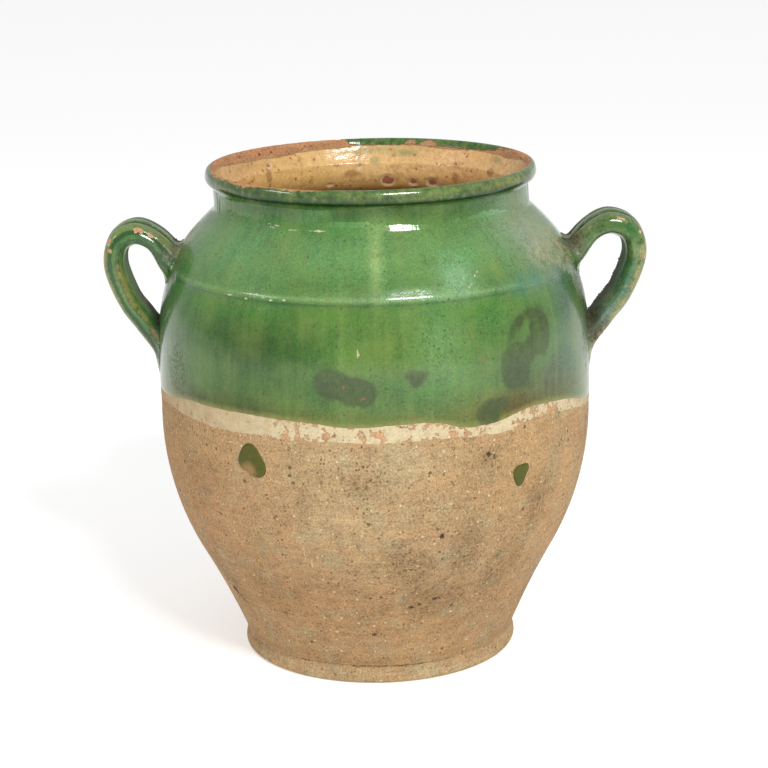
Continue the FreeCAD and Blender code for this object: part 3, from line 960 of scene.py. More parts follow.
# %% Finish the slip
# Fired slip is chalk-like: matt and opaque, a touch smoother than the clay beside it.
slip, tree, place = start_finish("white_slip")
wear, edge, thin = (add(tree, "ShaderNodeAttribute", attribute_name=name).outputs["Fac"]
                    for name in ("wear", "from_edge", "thin"))
near_edge = add(tree, "ShaderNodeMapRange", edge, 0.5, 5.0, 0.10, 0.0)
flaking = varied(tree, near_edge, (place, 5.2, 2, 1.5), (place, 1.6, 2, 0.3))
flaking = add(tree, MATH, "ADD", flaking,
              add(tree, "ShaderNodeMapRange", wear, 0.0, 1.0, -0.34, 0.0))
rim_of_flake = add(tree, "ShaderNodeMapRange", flaking, -0.02, 0.0)
worn_through = add(tree, "ShaderNodeMapRange", flaking, 0.03, 0.05)
light = varied(tree, 1.0, (place, 9, 3, 0.35), (place, 1.4, 3, 0.8))
cream = add(tree, VECTOR, "SCALE", paint("C3B38F")[:3], Scale=light)
clay, relief = clay_look(tree, place, paint("BB8F66"))
colour = laid_over(tree, cream, (
    (varied(tree, thin, (place, 7, 4, 1.2)), 1.0, "A68A62"),
    (specks(tree, place, 3.5, 0.35, 0.7), 0.6, "7A5F3C"),
    (rim_of_flake, 0.55, "9A7450"), (worn_through, 1.0, clay),
))
relief = add(tree, MATH, "MULTIPLY_ADD", worn_through, -0.5, relief)
finish_off(tree, relief, Base_Color=colour, Roughness=0.75)
slip_band = make_piece("white_slip_band", slip_pattern, wrap, slip, **GUIDE)
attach(slip_band, "root")

# %% [markdown]
# ## Copper-green lead glaze
# Lead glaze coloured with copper is a clear, soft glass. It is bright green over white slip,
# darker where it ran thick and yellower where it is thin, and it reflects the room like
# glass. Wiping and age have dulled it a little. The look is built from a tint, glaze that
# pooled over a hand's width, a fine upright grain, and small dark specks of copper.

# %% The look of the green glaze
STREAK_WIDTH = 2.6
ROUND_TO_FLAT = 135  # mm, about the pot's radius: turns a direction into a way round it
UPRIGHT_SHARE = 0.07  # how slowly the streaks change on their way down


def green_look(tree, place, tint):
    """Colour and relief of sound green glaze over a tint."""
    turned = add(tree, VECTOR, "NORMALIZE", add(tree, VECTOR, "MULTIPLY", place, (1, 1, 0)))
    upright = add(tree, VECTOR, "MULTIPLY_ADD", turned, (ROUND_TO_FLAT, ROUND_TO_FLAT, 0),
                  add(tree, VECTOR, "MULTIPLY", place, (0, 0, UPRIGHT_SHARE)))
    light = varied(tree, 1.0, (place, 24, 3, 0.6), (place, 6, 4, 0.6),
                   (upright, STREAK_WIDTH, 4, 0.36), (place, 1.4, 4, 1.3),
                   (place, 0.9, 2, 1.0))
    colour = add(tree, VECTOR, "SCALE", tint, Scale=light)
    yellow = varied(tree, 0.1, (place, 27, 3, 0.9), (upright, 6, 3, 0.5))
    copper = specks(tree, place, 3.2, 0.35, 0.8)
    colour = laid_over(tree, colour, ((yellow, 1.0, "7F9044"), (copper, 0.55, "26331A")))
    relief = varied(tree, 0.0, (place, 5, 3, 0.08), (place, 1.2, 2, 0.03),
                    (upright, STREAK_WIDTH, 3, 0.05))
    return colour, relief


print("the glaze ran down in streaks %.1f mm wide" % STREAK_WIDTH)

# %% [markdown]
# ## The green coat on the wall
# The tint follows what the glaze did: dark and full below the ledge, olive where it thins
# towards its lower edge, and bluish at the right. Part of it is painted light. The shoulder is
# lighter all round: some wear, and a painted sheen of the light from above. The corner under
# the rim is darkened as a painted shadow. Painted shade together with pooled glaze darkens the
# left of the neck below the rim and the thin line under the ledge. The rim's lower belt is
# darker glaze and a painted reflection that is dark below. Fat has left dark, ringed stains.
# Chips go down to the cream slip, and the small cream marks on the ledge and on the right
# shoulder are painted glints as well as chips.

# %% The tints of the green coat
GREEN_GROUND = "446C2C"
GREEN_TINT = (
    # angle, height, reach sideways and up in mm, colour, strength
    # painted sheen: the first row lightens the whole shoulder for the broad light from above,
    # over some wear
    (0, 282, 1e4, 19, "578449", 0.95), (0, 316, 1e4, 5, "5C7040", 0.8),
    # the dark row at 255.8 mm is pooled glaze and painted shade under the ledge's overhang
    (0, 249, 1e4, 5, "357019", 0.6), (0, 255.8, 1e4, 1.0, "0C4A1E", 0.95),
    (0, 259.2, 1e4, 1.6, "84A870", 0.5), (-34, 226, 56, 23, "24490B", 0.95),
    (6, 226, 36, 24, "466A27", 0.85), (40, 232, 34, 20, "3A632E", 0.8),
    (82, 222, 40, 40, "24432B", 0.95), (63, 244, 20, 20, "3A5A4A", 0.7),
    (58, 214, 18, 22, "34563C", 0.75), (-72, 228, 20, 30, "46705A", 0.6),
    (-78, 222, 36, 38, "345530", 0.9), (0, 188, 1e4, 8, "575D2A", 0.8),
    (-42, 190, 46, 9, "283808", 0.9), (38, 187, 34, 9, "52470F", 0.95),
    (8, 198, 36, 9, "3E602C", 0.6), (1, 281, 4, 24, "8BA465", 0.75),
    (48, 259, 20, 8, "2B6A5C", 0.9), (66, 262, 16, 9, "3A6A62", 0.8),
    (62, 282, 30, 26, "86907A", 0.9), (49, 199, 26, 12, "46493A", 0.75),
    (-44, 276, 40, 22, "54814C", 0.8), (34, 246, 14, 10, "4A8034", 0.6),
    (52, 314, 24, 5, "7D7B3C", 0.8), (-62, 313, 36, 6, "22401C", 0.9),
    (6, 313, 46, 4, "66763C", 0.6), (-16, 301, 66, 6.5, "3E7A34", 0.5),
    # the row at 310.2 mm is a painted shadow in the undercut below the rim
    (44, 302, 30, 5, "3A7030", 0.6), (0, 310.2, 1e4, 3.2, "073005", 1.0),
    # the dark rows at -58, -45 and -33 degrees, 303 to 306 mm up, are thick glaze and painted
    # shade below the rim
    (3, 302, 11, 9, "8CAE68", 0.65), (-45, 306, 40, 5, "1F4A1A", 0.5),
    (52, 303, 14, 6, "8CB48C", 0.6), (-58, 303, 5, 4, "1F4416", 0.9),
    (-24, 297, 30, 4, "33702A", 0.5), (-8, 219, 1.6, 40, "6E9348", 0.4),
    # the two dark rim rows at 313.4 and 315.4 mm are darker glaze and a painted reflection that
    # is dark below
    (0, 313.4, 1e4, 1.9, "20401A", 0.8), (-44, 315.4, 34, 3.6, "2A4A20", 0.6),
    (-33, 303, 20, 6, "1E4A18", 0.6), (17, 232, 16, 22, "6A8F56", 0.55),
    (36, 209, 20, 9, "2E4A26", 0.5), (34, 195, 26, 6, "5A4A1E", 0.4),
    (24, 268, 12, 12, "8CB890", 0.5), (10, 260, 40, 4, "8CB08A", 0.35),
    (-25, 205, 60, 8, "2A4410", 0.3), (140, 225, 60, 30, "3B6224", 0.9),
    (-140, 225, 60, 30, "41652B", 0.8),
)
print("dabs of tint on the coat:", len(GREEN_TINT))

# %% The marks of the green coat
STAINS = (
    # angle, height, half width and half height in mm, tilt in degrees, as in every table
    (-11.4, 210.5, 10, 9, 0), (-8, 208.5, 7, 8.6, 0), (-4.7, 206, 12.6, 9.2, -10),
    (9.8, 214.8, 7, 3.6, 0), (10.2, 212.4, 4.4, 4.6, 0), (38, 212.5, 12, 15, 0),
    (37.4, 232.5, 2.6, 6.5, -25), (40.6, 239, 3.4, 6, -50), (45.2, 240.8, 9.5, 3.4, 0),
    (47.2, 229, 9.6, 14.5, 0), (43, 220, 5, 8, 0), (29.2, 186.5, 8, 9, 0), (33, 191, 6, 5, 0),
    (155, 205, 12, 9, 15), (-128, 214, 9, 7, 0),
)
CHIPS_AND_GLINTS = (
    # cream chips down to the slip; the small ones on the ledge, 256 to 258 mm up, and the cluster
    # on the right shoulder, 262 to 273 mm up, are painted glints as well as chips
    (-33.6, 297.6, 3.4, 1.9, 10), (-36.5, 297.2, 1.5, 0.9, 0), (33.2, 299.1, 1.6, 1.2, 0),
    (39.8, 301.4, 1.4, 2.4, 0), (-18.6, 294.6, 3.6, 0.5, 0), (-36, 256.4, 1.0, 0.7, 0),
    (-28, 257, 1.1, 0.8, 30), (-24, 257.8, 1.0, 0.8, -20), (-42, 257, 2.4, 0.6, 0),
    (-4, 229, 0.7, 1.9, 0), (27.1, 265.2, 0.9, 0.7, 0), (26.6, 262.4, 0.6, 0.5, 0),
    (27.9, 263.8, 0.5, 0.6, 0), (30.5, 270, 0.6, 0.5, 0), (32.3, 270.8, 0.6, 0.4, 0),
    (29.4, 268, 0.5, 0.5, 0), (25.8, 267.4, 0.4, 0.5, 0), (24, 273, 0.5, 0.4, 0),
    (-63, 296, 1.8, 1.2, 0), (110, 259, 3, 1.2, 0), (165, 298, 3, 1.5, 0),
)
RUST = (
    (34.6, 270.5, 1.3, 0.9, 0), (24.5, 233, 0.7, 1.0, 0), (61, 272, 1.2, 1.2, 0),
    (-7.7, 208.6, 1.1, 0.9, 0), (-3.2, 201.4, 2.0, 1.0, 25), (27.6, 220.5, 0.8, 1.5, 0),
    (-41, 272, 1.2, 1.0, 20), (-44.5, 269.5, 1.4, 0.8, 40), (39, 275, 1.1, 1.1, 0),
    (64, 264, 1.2, 0.9, 0), (72, 263, 1.8, 1.3, 20), (61, 275, 0.9, 0.7, 0),
    (57, 273, 0.7, 0.7, 0), (70, 257, 1.2, 1.0, 0), (76, 272, 1.8, 1.6, 0),
    (-66, 200, 0.8, 0.8, 0), (-64, 205, 0.6, 0.7, 0), (-62, 197, 0.7, 0.6, 0),
    (-67, 208, 0.5, 0.8, 0), (-60, 203, 0.6, 0.5, 0), (-69, 196, 0.7, 0.6, 0),
    (58, 199, 1.0, 1.2, 0), (-68, 196, 1.4, 1.0, 0), (9, 190, 0.8, 0.8, 0),
)
WORN = (
    (58, 271, 9, 9, 0), (66, 270, 12, 12, 0), (74, 270, 14, 15, 0), (-86, 278, 10, 9, 0),
)
DIRT = (
    (76, 222, 12, 30, 0), (80, 258, 12, 24, 0), (-79, 263, 14, 18, 0), (86, 196, 12, 12, 0),
    (-62, 203, 16, 18, 0),
)
GLAZE_MARKS = {"stain": STAINS, "chip": CHIPS_AND_GLINTS, "rust": RUST, "worn": WORN, "dirt": DIRT}
print("marks on the green coat:", sum(len(rows) for rows in GLAZE_MARKS.values()))

# %% [markdown]
# Round the lip, use has worn the glaze away. How far the green still reaches over the lip
# is given in millimetres beyond its crest, so bare orange clay shows where it stops short:
# in front on the left as a jagged line, and behind on the left as a broad band. Three bites
# out of the edge go deeper.

# %% Lay the green coat
LIP_REACH = (
    # angle, and how far past the crest of the lip the green reaches
    (-180, 6.2), (-174, 5.8), (-171.5, 4.0), (-170, 0.4), (-164, -0.6), (-140, -1.2),
    (-112, -0.8), (-98, 0.4), (-88, 0.8), (-72, -1.2), (-60, -2.4), (-44, -2.6), (-30, -2.2),
    (-19, -1.6), (-12, 0.6), (20, 1.2), (46, 1.0), (70, 0.4), (88, 0.2), (100, -0.6),
    (112, -1.0), (119, 2.6), (128, 5.6), (150, 6.2), (165, 6.0), (174, 6.4),
)
LIP_CHIPS = (
    # angle, mm past the crest of the lip, half width, half height, tilt
    (163.6, 4.6, 3.2, 2.4, 0), (156.4, 4.8, 5.8, 2.3, 0), (120, 3.4, 4.0, 1.6, 0),
)
GLAZE_STEPS = ((0, 12, 1.0), (12, 78, 2.4), (78, 88, 0.9), (88, 124, 2.4), (124, 168, 0.8))
GLAZE_END = 168  # mm along the coat, where the last step ends
JAGS, MORE_JAGS = 0.8, 1.4  # height of the lip edge's waves, and what they gain in front

glaze_angles = np.linspace(-180, 180, 601)
glaze_lower = run_at(edge_line(GLAZE_EDGE, glaze_angles) + 0.4 * ragged(glaze_angles, 150, 6, 3))
glaze_upper = along[LIP] + edge_line(LIP_REACH, glaze_angles)
jagged = JAGS + MORE_JAGS * np.exp(-((glaze_angles + 42) / 26) ** 2)
glaze_upper += jagged * ragged(glaze_angles, 150, 12, 8)
glaze_pattern = coat_pattern("green_glaze_coat", glaze_angles, glaze_lower, glaze_upper,
                             GLAZE_UNDER, rows_of(GLAZE_STEPS, GLAZE_END))
print("the green coat's pattern has", len(glaze_pattern.polygons), "faces")

# %% Tint and mark the green coat
# painted shade: in the corner under the rim the glaze is darkened and shines less
SHADE_UNDER_RIM_HEIGHT, SHADE_UNDER_RIM_REACH = 310.6, 2.2  # the dark corner under the rim

glaze_places = pattern_places(glaze_pattern)
angles, runs, radii = glaze_places
for name, rows in GLAZE_MARKS.items():
    keep_values(glaze_pattern, name, mark_distance(glaze_places, on_wall(rows)))
keep_tint(glaze_pattern, dab(glaze_places, GREEN_GROUND, on_wall(GREEN_TINT)))
bites = [(angle, along[LIP] + beyond, *rest) for angle, beyond, *rest in LIP_CHIPS]
to_lip = np.minimum(np.interp(angles, glaze_angles, glaze_upper) - runs,
                    0.4 + mark_distance(glaze_places, bites))
keep_values(glaze_pattern, "to_lip", to_lip)
keep_values(glaze_pattern, "from_edge", runs - np.interp(angles, glaze_angles, glaze_lower))
keep_values(glaze_pattern, "under_rim_shade", np.exp(-((runs - run_at(SHADE_UNDER_RIM_HEIGHT)) / SHADE_UNDER_RIM_REACH) ** 2))
print("the green reaches up to %.1f mm past the crest" % (glaze_upper.max() - along[LIP]))

# %% [markdown]
# Glaze softens a corner or sharpens a crest by a hair, and that hair decides where a thin
# line of light falls. At the foot of the neck a thumb has filled the hollow out to a flat,
# which is what throws the broad light there. The flat is given by the heights and radii of
# its corners, and each thumb mark by its angle and half its width in degrees.

# %% Press the coat into shape
TOOLED = (
    # height, half width along the outline, and how far it comes out of the wall, in mm
    (256.2, 1.3, 0.6), (257.8, 1.0, -0.35), (309, 1.5, -0.6),
)
FLAT_HEIGHTS, FLAT_RADII = (286, 293.5, 299.6), (108.76, 103.26, 100.3)
THUMBS = ((13.6, 14.5), (-36, 5.5))
MOST_FILLED = 2.0
SQUARE_ON = 0.9  # a step out of the sloping wall for each step of radius
CHIP_DEPTH = 0.3

tooled = sum(out * np.exp(-((runs - run_at(height)) / wide) ** 2)
             for height, wide, out in TOOLED)
heights = np.interp(runs, along, outline[:, 1])
on_flat = (heights > FLAT_HEIGHTS[0]) & (heights < FLAT_HEIGHTS[-1])
fill = np.clip(np.interp(heights, FLAT_HEIGHTS, FLAT_RADII) - radii, 0, MOST_FILLED)
windows = (np.clip(1 - ((angles - angle) / wide) ** 4, 0, 1) for angle, wide in THUMBS)
thumbed = SQUARE_ON * fill * on_flat * sum(windows)
chips_and_glints_pressed = np.clip(0.4 - mark_distance(glaze_places, on_wall(CHIPS_AND_GLINTS)), 0, 1)
press(glaze_pattern, tooled + thumbed - CHIP_DEPTH * chips_and_glints_pressed)
print("the neck's foot is filled out by up to %.1f mm" % thumbed.max())

# %% [markdown]
# The finish lays the marks over the sound glaze in the order in which they came: dirt and
# fat stains on the glass, rust spots, then wear and chips, which take the gloss with them.
# A painted shadow goes over the stains in the corner under the rim, and some of the small
# cream chips are painted glints.

# %% Lay stains, wear and chips over the green
# Lead glaze is a soft glass that bends light more than window glass: wet-looking, with
# sharp highlights, and matt only where it is worn, dirty or gone.
green_glaze, tree, place = start_finish("copper_green_lead_glaze")
tint = add(tree, "ShaderNodeAttribute", attribute_name="tint").outputs["Color"]
edge, lip, under_rim_nearness = (add(tree, "ShaderNodeAttribute", attribute_name=name).outputs["Fac"]
                   for name in ("from_edge", "to_lip", "under_rim_shade"))
colour, relief = green_look(tree, place, tint)
stain = inside_mark(tree, place, "stain", 1.6, 8, 1.0)
ring = inside_mark(tree, place, "stain", 1.6, 8, 2.6)
ring = add(tree, MATH, "MULTIPLY", ring, add(tree, MATH, "SUBTRACT", 1.0, stain))
patchy = varied(tree, 0.85, (place, 13, 3, 1.2), (place, 2, 3, 0.6))
stain = add(tree, MATH, "MULTIPLY", stain, patchy, use_clamp=True)
dirt = inside_mark(tree, place, "dirt", 5, 6, 5.0)
dusty = varied(tree, 0.5, (place, 1.5, 3, 3.5))
dirt = add(tree, MATH, "MULTIPLY", dirt, dusty, use_clamp=True)
rust = inside_mark(tree, place, "rust", 0.5, 1.2)
worn = inside_mark(tree, place, "worn", 5, 7, 6.0)
grains = varied(tree, 0.5, (place, 1.0, 3, 5.0), (place, 5, 2, 3.6))
worn = add(tree, MATH, "MULTIPLY", worn, grains, use_clamp=True)
# cream where chipped; the small cream marks on the ledge and the right shoulder are also painted
# glints
chip = inside_mark(tree, place, "chip", 0.6, 1.5)
# painted shadow in the corner under the rim, a little uneven
under_rim_shade = varied(tree, under_rim_nearness, (place, 6, 3, 0.5))
thin = add(tree, "ShaderNodeMapRange", varied(tree, edge, (place, 6, 3, 5)), 4.0, 0.3)
bitten = add(tree, "ShaderNodeMapRange", varied(tree, lip, (place, 2.2, 3, 2.6)), 0.6, 0.35)
rim = add(tree, "ShaderNodeMapRange", lip, 15.0, 11.0)
ran_off, pooled = (
    add(tree, MATH, "MULTIPLY", rim, varied(tree, start, *layers), use_clamp=True)
    for start, *layers in ((0.1, (place, 3.5, 3, 3.5), (place, 14, 2, 2)),
                           (0.35, (place, 4.5, 4, -3.5), (place, 20, 2, 2))))
clay, _ = clay_look(tree, place, paint("BE8560"))
fat = add(tree, VECTOR, "SCALE", paint("36441E")[:3],
          Scale=varied(tree, 1.0, (place, 1.3, 3, 1.6), (place, 6, 3, 0.9)))
colour = laid_over(tree, colour, (
    (ran_off, 0.5, "8F9150"), (pooled, 0.75, "1F3D14"), (thin, 0.6, "8C8548"),
    (dirt, 0.5, "4E4734"), (ring, 0.35, "33451F"), (stain, 0.9, fat),
    (under_rim_shade, 0.8, "052A06"), (worn, 0.62, "AEA582"), (rust, 0.9, "8E4A30"),
    (chip, 1.0, "D3C8A2"), (bitten, 1.0, clay),
))
print("the green coat's colour has", len(tree.nodes), "nodes")

# %% [markdown]
# What takes the gloss away makes the surface rougher. Where the glaze is thin, near its
# lower edge, it also shines less, and so does the corner that the rim keeps in its shade.

# %% Finish the green coat
scuffed = add(tree, MATH, "MAXIMUM", worn, dirt)
dull = add(tree, MATH, "MAXIMUM", chip, bitten)
dull = add(tree, MATH, "MAXIMUM", dull, add(tree, MATH, "MULTIPLY", scuffed, 0.6))
matt = add(tree, "ShaderNodeMapRange", edge, 30.0, 4.0, 0.0, 0.8)
matt = add(tree, MATH, "MAXIMUM", matt, scuffed)
matt = add(tree, MATH, "MAXIMUM", matt, add(tree, MATH, "MULTIPLY", under_rim_shade, 1.5))
sheen = add(tree, MATH, "MULTIPLY_ADD", matt, -0.3, 0.5)
gloss = varied(tree, 0.13, (place, 9, 3, 0.16), (place, 1.5, 2, 0.05))
roughness = add(tree, MATH, "MULTIPLY_ADD", dull, 0.6, gloss)
relief = add(tree, MATH, "MULTIPLY_ADD", dull, -0.25, relief)
finish_off(tree, relief, Base_Color=colour, Roughness=roughness, IOR=1.55,
           Specular_IOR_Level=sheen)

glaze_coat = make_piece("green_glaze_coat", glaze_pattern, wrap, green_glaze, **GUIDE)
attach(glaze_coat, "root")

# %% [markdown]
# ## Amber lining
# Inside, the same lead glaze has no copper, so the buff clay shows through it as amber. It
# was poured in and swilled round. Lime in the clay has blown off small craters, each with a
# pale ring round a red-brown floor, and iron has bled into brown specks and runs. The
# craters are real dents. Below the neck the photograph shows nothing: there the lining
# carries on with the same specks, a few more craters and a browner, scraped floor.

# %% The marks of the lining
CRATERS = (
    # angle, distance along the outline, half width and half height in mm, tilt
    (172.7, 467.5, 5.6, 5.0, 0), (162.1, 468.6, 3.6, 3.2, 0), (153.6, 468.2, 5.2, 4.2, 0),
    (-134.5, 449.4, 3.0, 2.8, 0), (-175.6, 456.7, 2.4, 2.2, 0), (147.9, 455.2, 1.6, 1.5, 0),
    (-162.9, 469.5, 3.2, 2.0, 0), (-95.3, 452, 2.0, 1.8, 0), (20, 474, 4.0, 3.6, 0),
    (-60, 520, 5.0, 4.4, 0), (110, 560, 4.2, 4.0, 0), (0, 600, 4.6, 4.0, 0),
    (-120, 500, 3.6, 3.4, 0),
)
BROWN_RUNS = (
    (-133, 457, 2.4, 6, 0), (-150, 448, 1.2, 2.0, 0), (-172, 461.5, 5.0, 2.4, 0),
    (-166, 455, 2.0, 1.5, 0), (121.2, 455.2, 4.0, 3.4, 0), (142, 463, 2.4, 4.0, 0),
    (170, 449, 1.6, 1.4, 0), (-120, 459, 5.0, 1.2, 20), (60, 480, 3.0, 20, 0),
    (-40, 540, 3.5, 30, 0), (150, 520, 3.0, 24, 0), (-100, 600, 3.0, 26, 0),
)
GREEN_DRIPS = (
    (178, 452.9, 3.2, 2.6, 0), (165, 447, 6.0, 2.0, 0), (-176, 448, 2.0, 1.6, 0),
    (120, 446, 5.0, 2.0, 0), (40, 447, 8.0, 1.6, 0),
)
LINING_TINT = (
    # the lighter rows high on the far wall, at 180, -150 and 140 degrees, are painted light on a
    # wall that gets little light through the mouth
    (180, 462, 60, 12, "EBC88C", 0.9), (-150, 462, 36, 12, "E0B872", 0.8),
    (140, 460, 34, 12, "E0B37E", 0.8), (-120, 447, 24, 5, "B98E52", 0.6),
    (0, 480, 1e4, 20, "C19A5A", 0.8), (0, 640, 1e4, 90, "B08A50", 0.8),
    (0, 800, 1e4, 50, "8E6C3E", 0.9), (175, 445, 30, 3, "A9A067", 0.7),
)
LINING_GROUND = "DBAE70"
print("marks on the lining:", len(CRATERS) + len(BROWN_RUNS) + len(GREEN_DRIPS))

# %% Lay the amber lining
BEVEL_REACH = (
    # angle, and how far inside the crest of the lip the amber starts
    (-180, 5.6), (-172, 5.9), (-168, 7.0), (-158, 7.6), (-140, 8.8), (-122, 8.6), (-108, 6.6),
    (-92, 5.0), (-60, 4.5), (0, 4.5), (60, 4.5), (92, 4.5), (104, 5.6), (113, 7.4), (120, 6.4),
    (135, 6.8), (147, 7.0), (155, 6.2), (168, 6.2),
)
LINING_ROWS, LINING_LENGTH = ((0, 44, 0.9), (44, 395, 7)), 395
FLOOR_MARGIN = 0.5  # mm from the coat's end on the floor to the axis

lining_angles = np.linspace(-180, 180, 451)
lining_lower = along[LIP] + edge_line(BEVEL_REACH, lining_angles)
lining_lower += 0.8 * ragged(lining_angles, 110, 8, 21)
lining_upper = np.full_like(lining_lower, along[-1] - FLOOR_MARGIN)
lining_pattern = coat_pattern("amber_lining", lining_angles, lining_lower, lining_upper,
                              GLAZE_UNDER, rows_of(LINING_ROWS, LINING_LENGTH), buried=30)
lining_places = pattern_places(lining_pattern)
angles, runs, _ = lining_places
crater = mark_distance(lining_places, CRATERS)
for name, values in (("crater", crater), ("run", mark_distance(lining_places, BROWN_RUNS)),
                     ("drip", mark_distance(lining_places, GREEN_DRIPS)),
                     ("from_edge", runs - np.interp(angles, lining_angles, lining_lower))):
    keep_values(lining_pattern, name, values)
keep_tint(lining_pattern, dab(lining_places, LINING_GROUND, LINING_TINT))
print("the lining's pattern has", len(lining_pattern.polygons), "faces")

# %% [markdown]
# A crater is a pit with a rounded rim. The throat, where the neck is narrowest, is hollowed
# a little, so that light lies along it. Nothing may stand out into the opening.

# %% Press the craters and the throat
CRATER_DEPTH, CRATER_SLOPE = 0.8, 1.2
RIM_HEIGHT, RIM_AWAY, RIM_WIDTH = 0.25, 0.6, 0.7
THROAT_DEPTH, THROAT_PAST_LIP, THROAT_WIDTH = 0.7, 17.5, 4.5
MOST_PROUD = 0.02

dents = -CRATER_DEPTH * np.clip(-crater / CRATER_SLOPE, 0, 1)
dents += RIM_HEIGHT * np.exp(-((crater - RIM_AWAY) / RIM_WIDTH) ** 2)
from_throat = runs - along[LIP] - THROAT_PAST_LIP
dents -= THROAT_DEPTH * np.exp(-(from_throat / THROAT_WIDTH) ** 2)
press(lining_pattern, np.minimum(dents, MOST_PROUD))
print("the deepest crater goes down by %.1f mm" % -dents.min())

# %% Finish the amber lining
# The same soft glass without copper: clear and glossy, so it looks like honey over clay.
amber, tree, place = start_finish("amber_lead_glaze")
tint = add(tree, "ShaderNodeAttribute", attribute_name="tint").outputs["Color"]
to_crater, edge = (add(tree, "ShaderNodeAttribute", attribute_name=name).outputs["Fac"]
                   for name in ("crater", "from_edge"))
light = varied(tree, 1.0, (place, 17, 3, 0.3), (place, 4, 3, 0.4), (place, 1.3, 3, 0.8))
colour = add(tree, VECTOR, "SCALE", tint, Scale=light)
crater = inside_mark(tree, place, "crater", 0.35, 1.6, 0.2)
floor_of_crater = add(tree, "ShaderNodeMapRange",
                      varied(tree, to_crater, (place, 3, 3, 5)), -1.4, -2.0)
crater_rim = inside_mark(tree, place, "crater", 0.3, 1.6, 1.0)
run = inside_mark(tree, place, "run", 1.0, 2.5, 0.8)
drip = inside_mark(tree, place, "drip", 1.0, 3, 1.2)
blotches = varied(tree, 0.0, (place, 3.4, 4, 1.0), (place, 14, 2, 0.7))
blotches = add(tree, "ShaderNodeMapRange", blotches, 0.02, 0.22)
brown = specks(tree, place, 3.4, 0.4, 1.3)
start_line = add(tree, "ShaderNodeMapRange", varied(tree, edge, (place, 3, 3, 1.5)), 1.1, 0.4)
colour = laid_over(tree, colour, (
    (blotches, 0.4, "9A6434"), (brown, 0.6, "7E4426"), (run, 0.6, "8A5A35"),
    (drip, 0.55, "6F7F45"), (start_line, 0.7, "6E5636"), (crater_rim, 0.4, "7D6238"),
    (crater, 0.9, "D6B88C"), (floor_of_crater, 0.85, "9A4F2E"),
))
roughness = add(tree, MATH, "MULTIPLY_ADD", crater, 0.5, varied(tree, 0.2, (place, 7, 3, 0.16)))
relief = varied(tree, 0.0, (place, 4.5, 3, 0.4), (place, 1.3, 3, 0.07))
finish_off(tree, relief, Base_Color=colour, Roughness=roughness, IOR=1.55)
lining = make_piece("amber_lining", lining_pattern, wrap, amber, **GUIDE)
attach(lining, "root")

# %% [markdown]
# ## Two splashes of glaze
# When the pot was lifted out, two drops of glaze fell on the bare clay and were fired there.
# A drop is a shallow dome with a rounded foot. Its pattern is a fan of rings round its own
# middle, whose outline is an egg or a shield, and the wrapping tree lays it on the wall.

# %% Finish the splashes
# Glaze without slip under it took up iron from the clay: olive, half matt and pitted.
splash_glaze, tree, place = start_finish("olive_glaze_splash")
light = varied(tree, 1.0, (place, 4, 3, 0.6), (place, 1.1, 3, 0.4))
colour = add(tree, VECTOR, "SCALE", paint("4A4B08")[:3], Scale=light)
worn = inside_mark(tree, place, "worn", 1.0, 3, 2.0)
colour = laid_over(tree, colour, (
    (specks(tree, place, 2.2, 0.4, 0.5), 0.4, "7C7436"), (worn, 0.85, "8F6F42"),
))
relief = varied(tree, 0.0, (place, 2, 3, 0.12))
finish_off(tree, relief, Base_Color=colour, Roughness=0.6, IOR=1.4)

print("the splashes' finish has", len(tree.nodes), "nodes")

# %% Drop the splashes
SPLASHES = {
    # name: angle, height, then half sizes in mm at points round the drop, from its top
    "splash_left": (-33.0, 158.5, (11.4, 8.8, 8.0, 9.4, 12.4, 11.8, 9.4, 7.8, 10.0, 10.0, 9.2,
                                   10.4)),
    "splash_right": (39.2, 143.6, (5.6, 7.0, 8.8, 5.4, 4.8, 6.2, 9.2, 6.4, 5.6, 5.6, 6.6, 6.4)),
}
WORN_PATCH = ((-33.8, 152.2, 5.2, 4.8, 0),)
DOME_RINGS, BURIED_RINGS = 13, 5
DROP_THICK, DROP_EDGE, DROP_UNDER = 0.35, -0.45, -0.8  # mm off the wall

dome = np.linspace(0, 1, DOME_RINGS)
share = np.concatenate((dome, np.linspace(0.97, 0, BURIED_RINGS)))
top = np.append(DROP_THICK * np.sqrt(1 - dome ** 4), np.full(BURIED_RINGS, DROP_UNDER))
top[DOME_RINGS - 1] = DROP_EDGE
turns = np.linspace(0, 360, 73)
radians = np.radians(turns)[:, None]
for name, (angle, height, sizes) in SPLASHES.items():
    reach = np.interp(turns, np.linspace(0, 360, len(sizes) + 1), sizes + sizes[:1])
    round_again = np.concatenate((reach[-4:-1], reach, reach[1:4]))
    reach = np.convolve(round_again, np.ones(7) / 7, "valid")[:, None]
    right = reach * share * np.sin(radians)
    above_middle = reach * share * np.cos(radians)
    across = angle + np.degrees(right / wall_radius(height))
    pattern = flat_pattern(name, across, run_at(height) + above_middle,
                           np.broadcast_to(top, right.shape))
    patch = mark_distance(pattern_places(pattern), on_wall(WORN_PATCH))
    keep_values(pattern, "worn", patch)
    splash = make_piece(name, pattern, wrap, splash_glaze, **GUIDE)
    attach(splash, "root")

# %% [markdown]
# ## The pulled handles
# Each handle was pulled from a lump of clay with a wet hand, whose fingers left two grooves
# between three ribs. It was pressed onto the shoulder, arched over and smeared onto the
# wall. Such a strap is a section carried along a way. The stations are those of the packed
# part: a place, the lean of the outer face, and shares of thickness, breadth and rib depth.

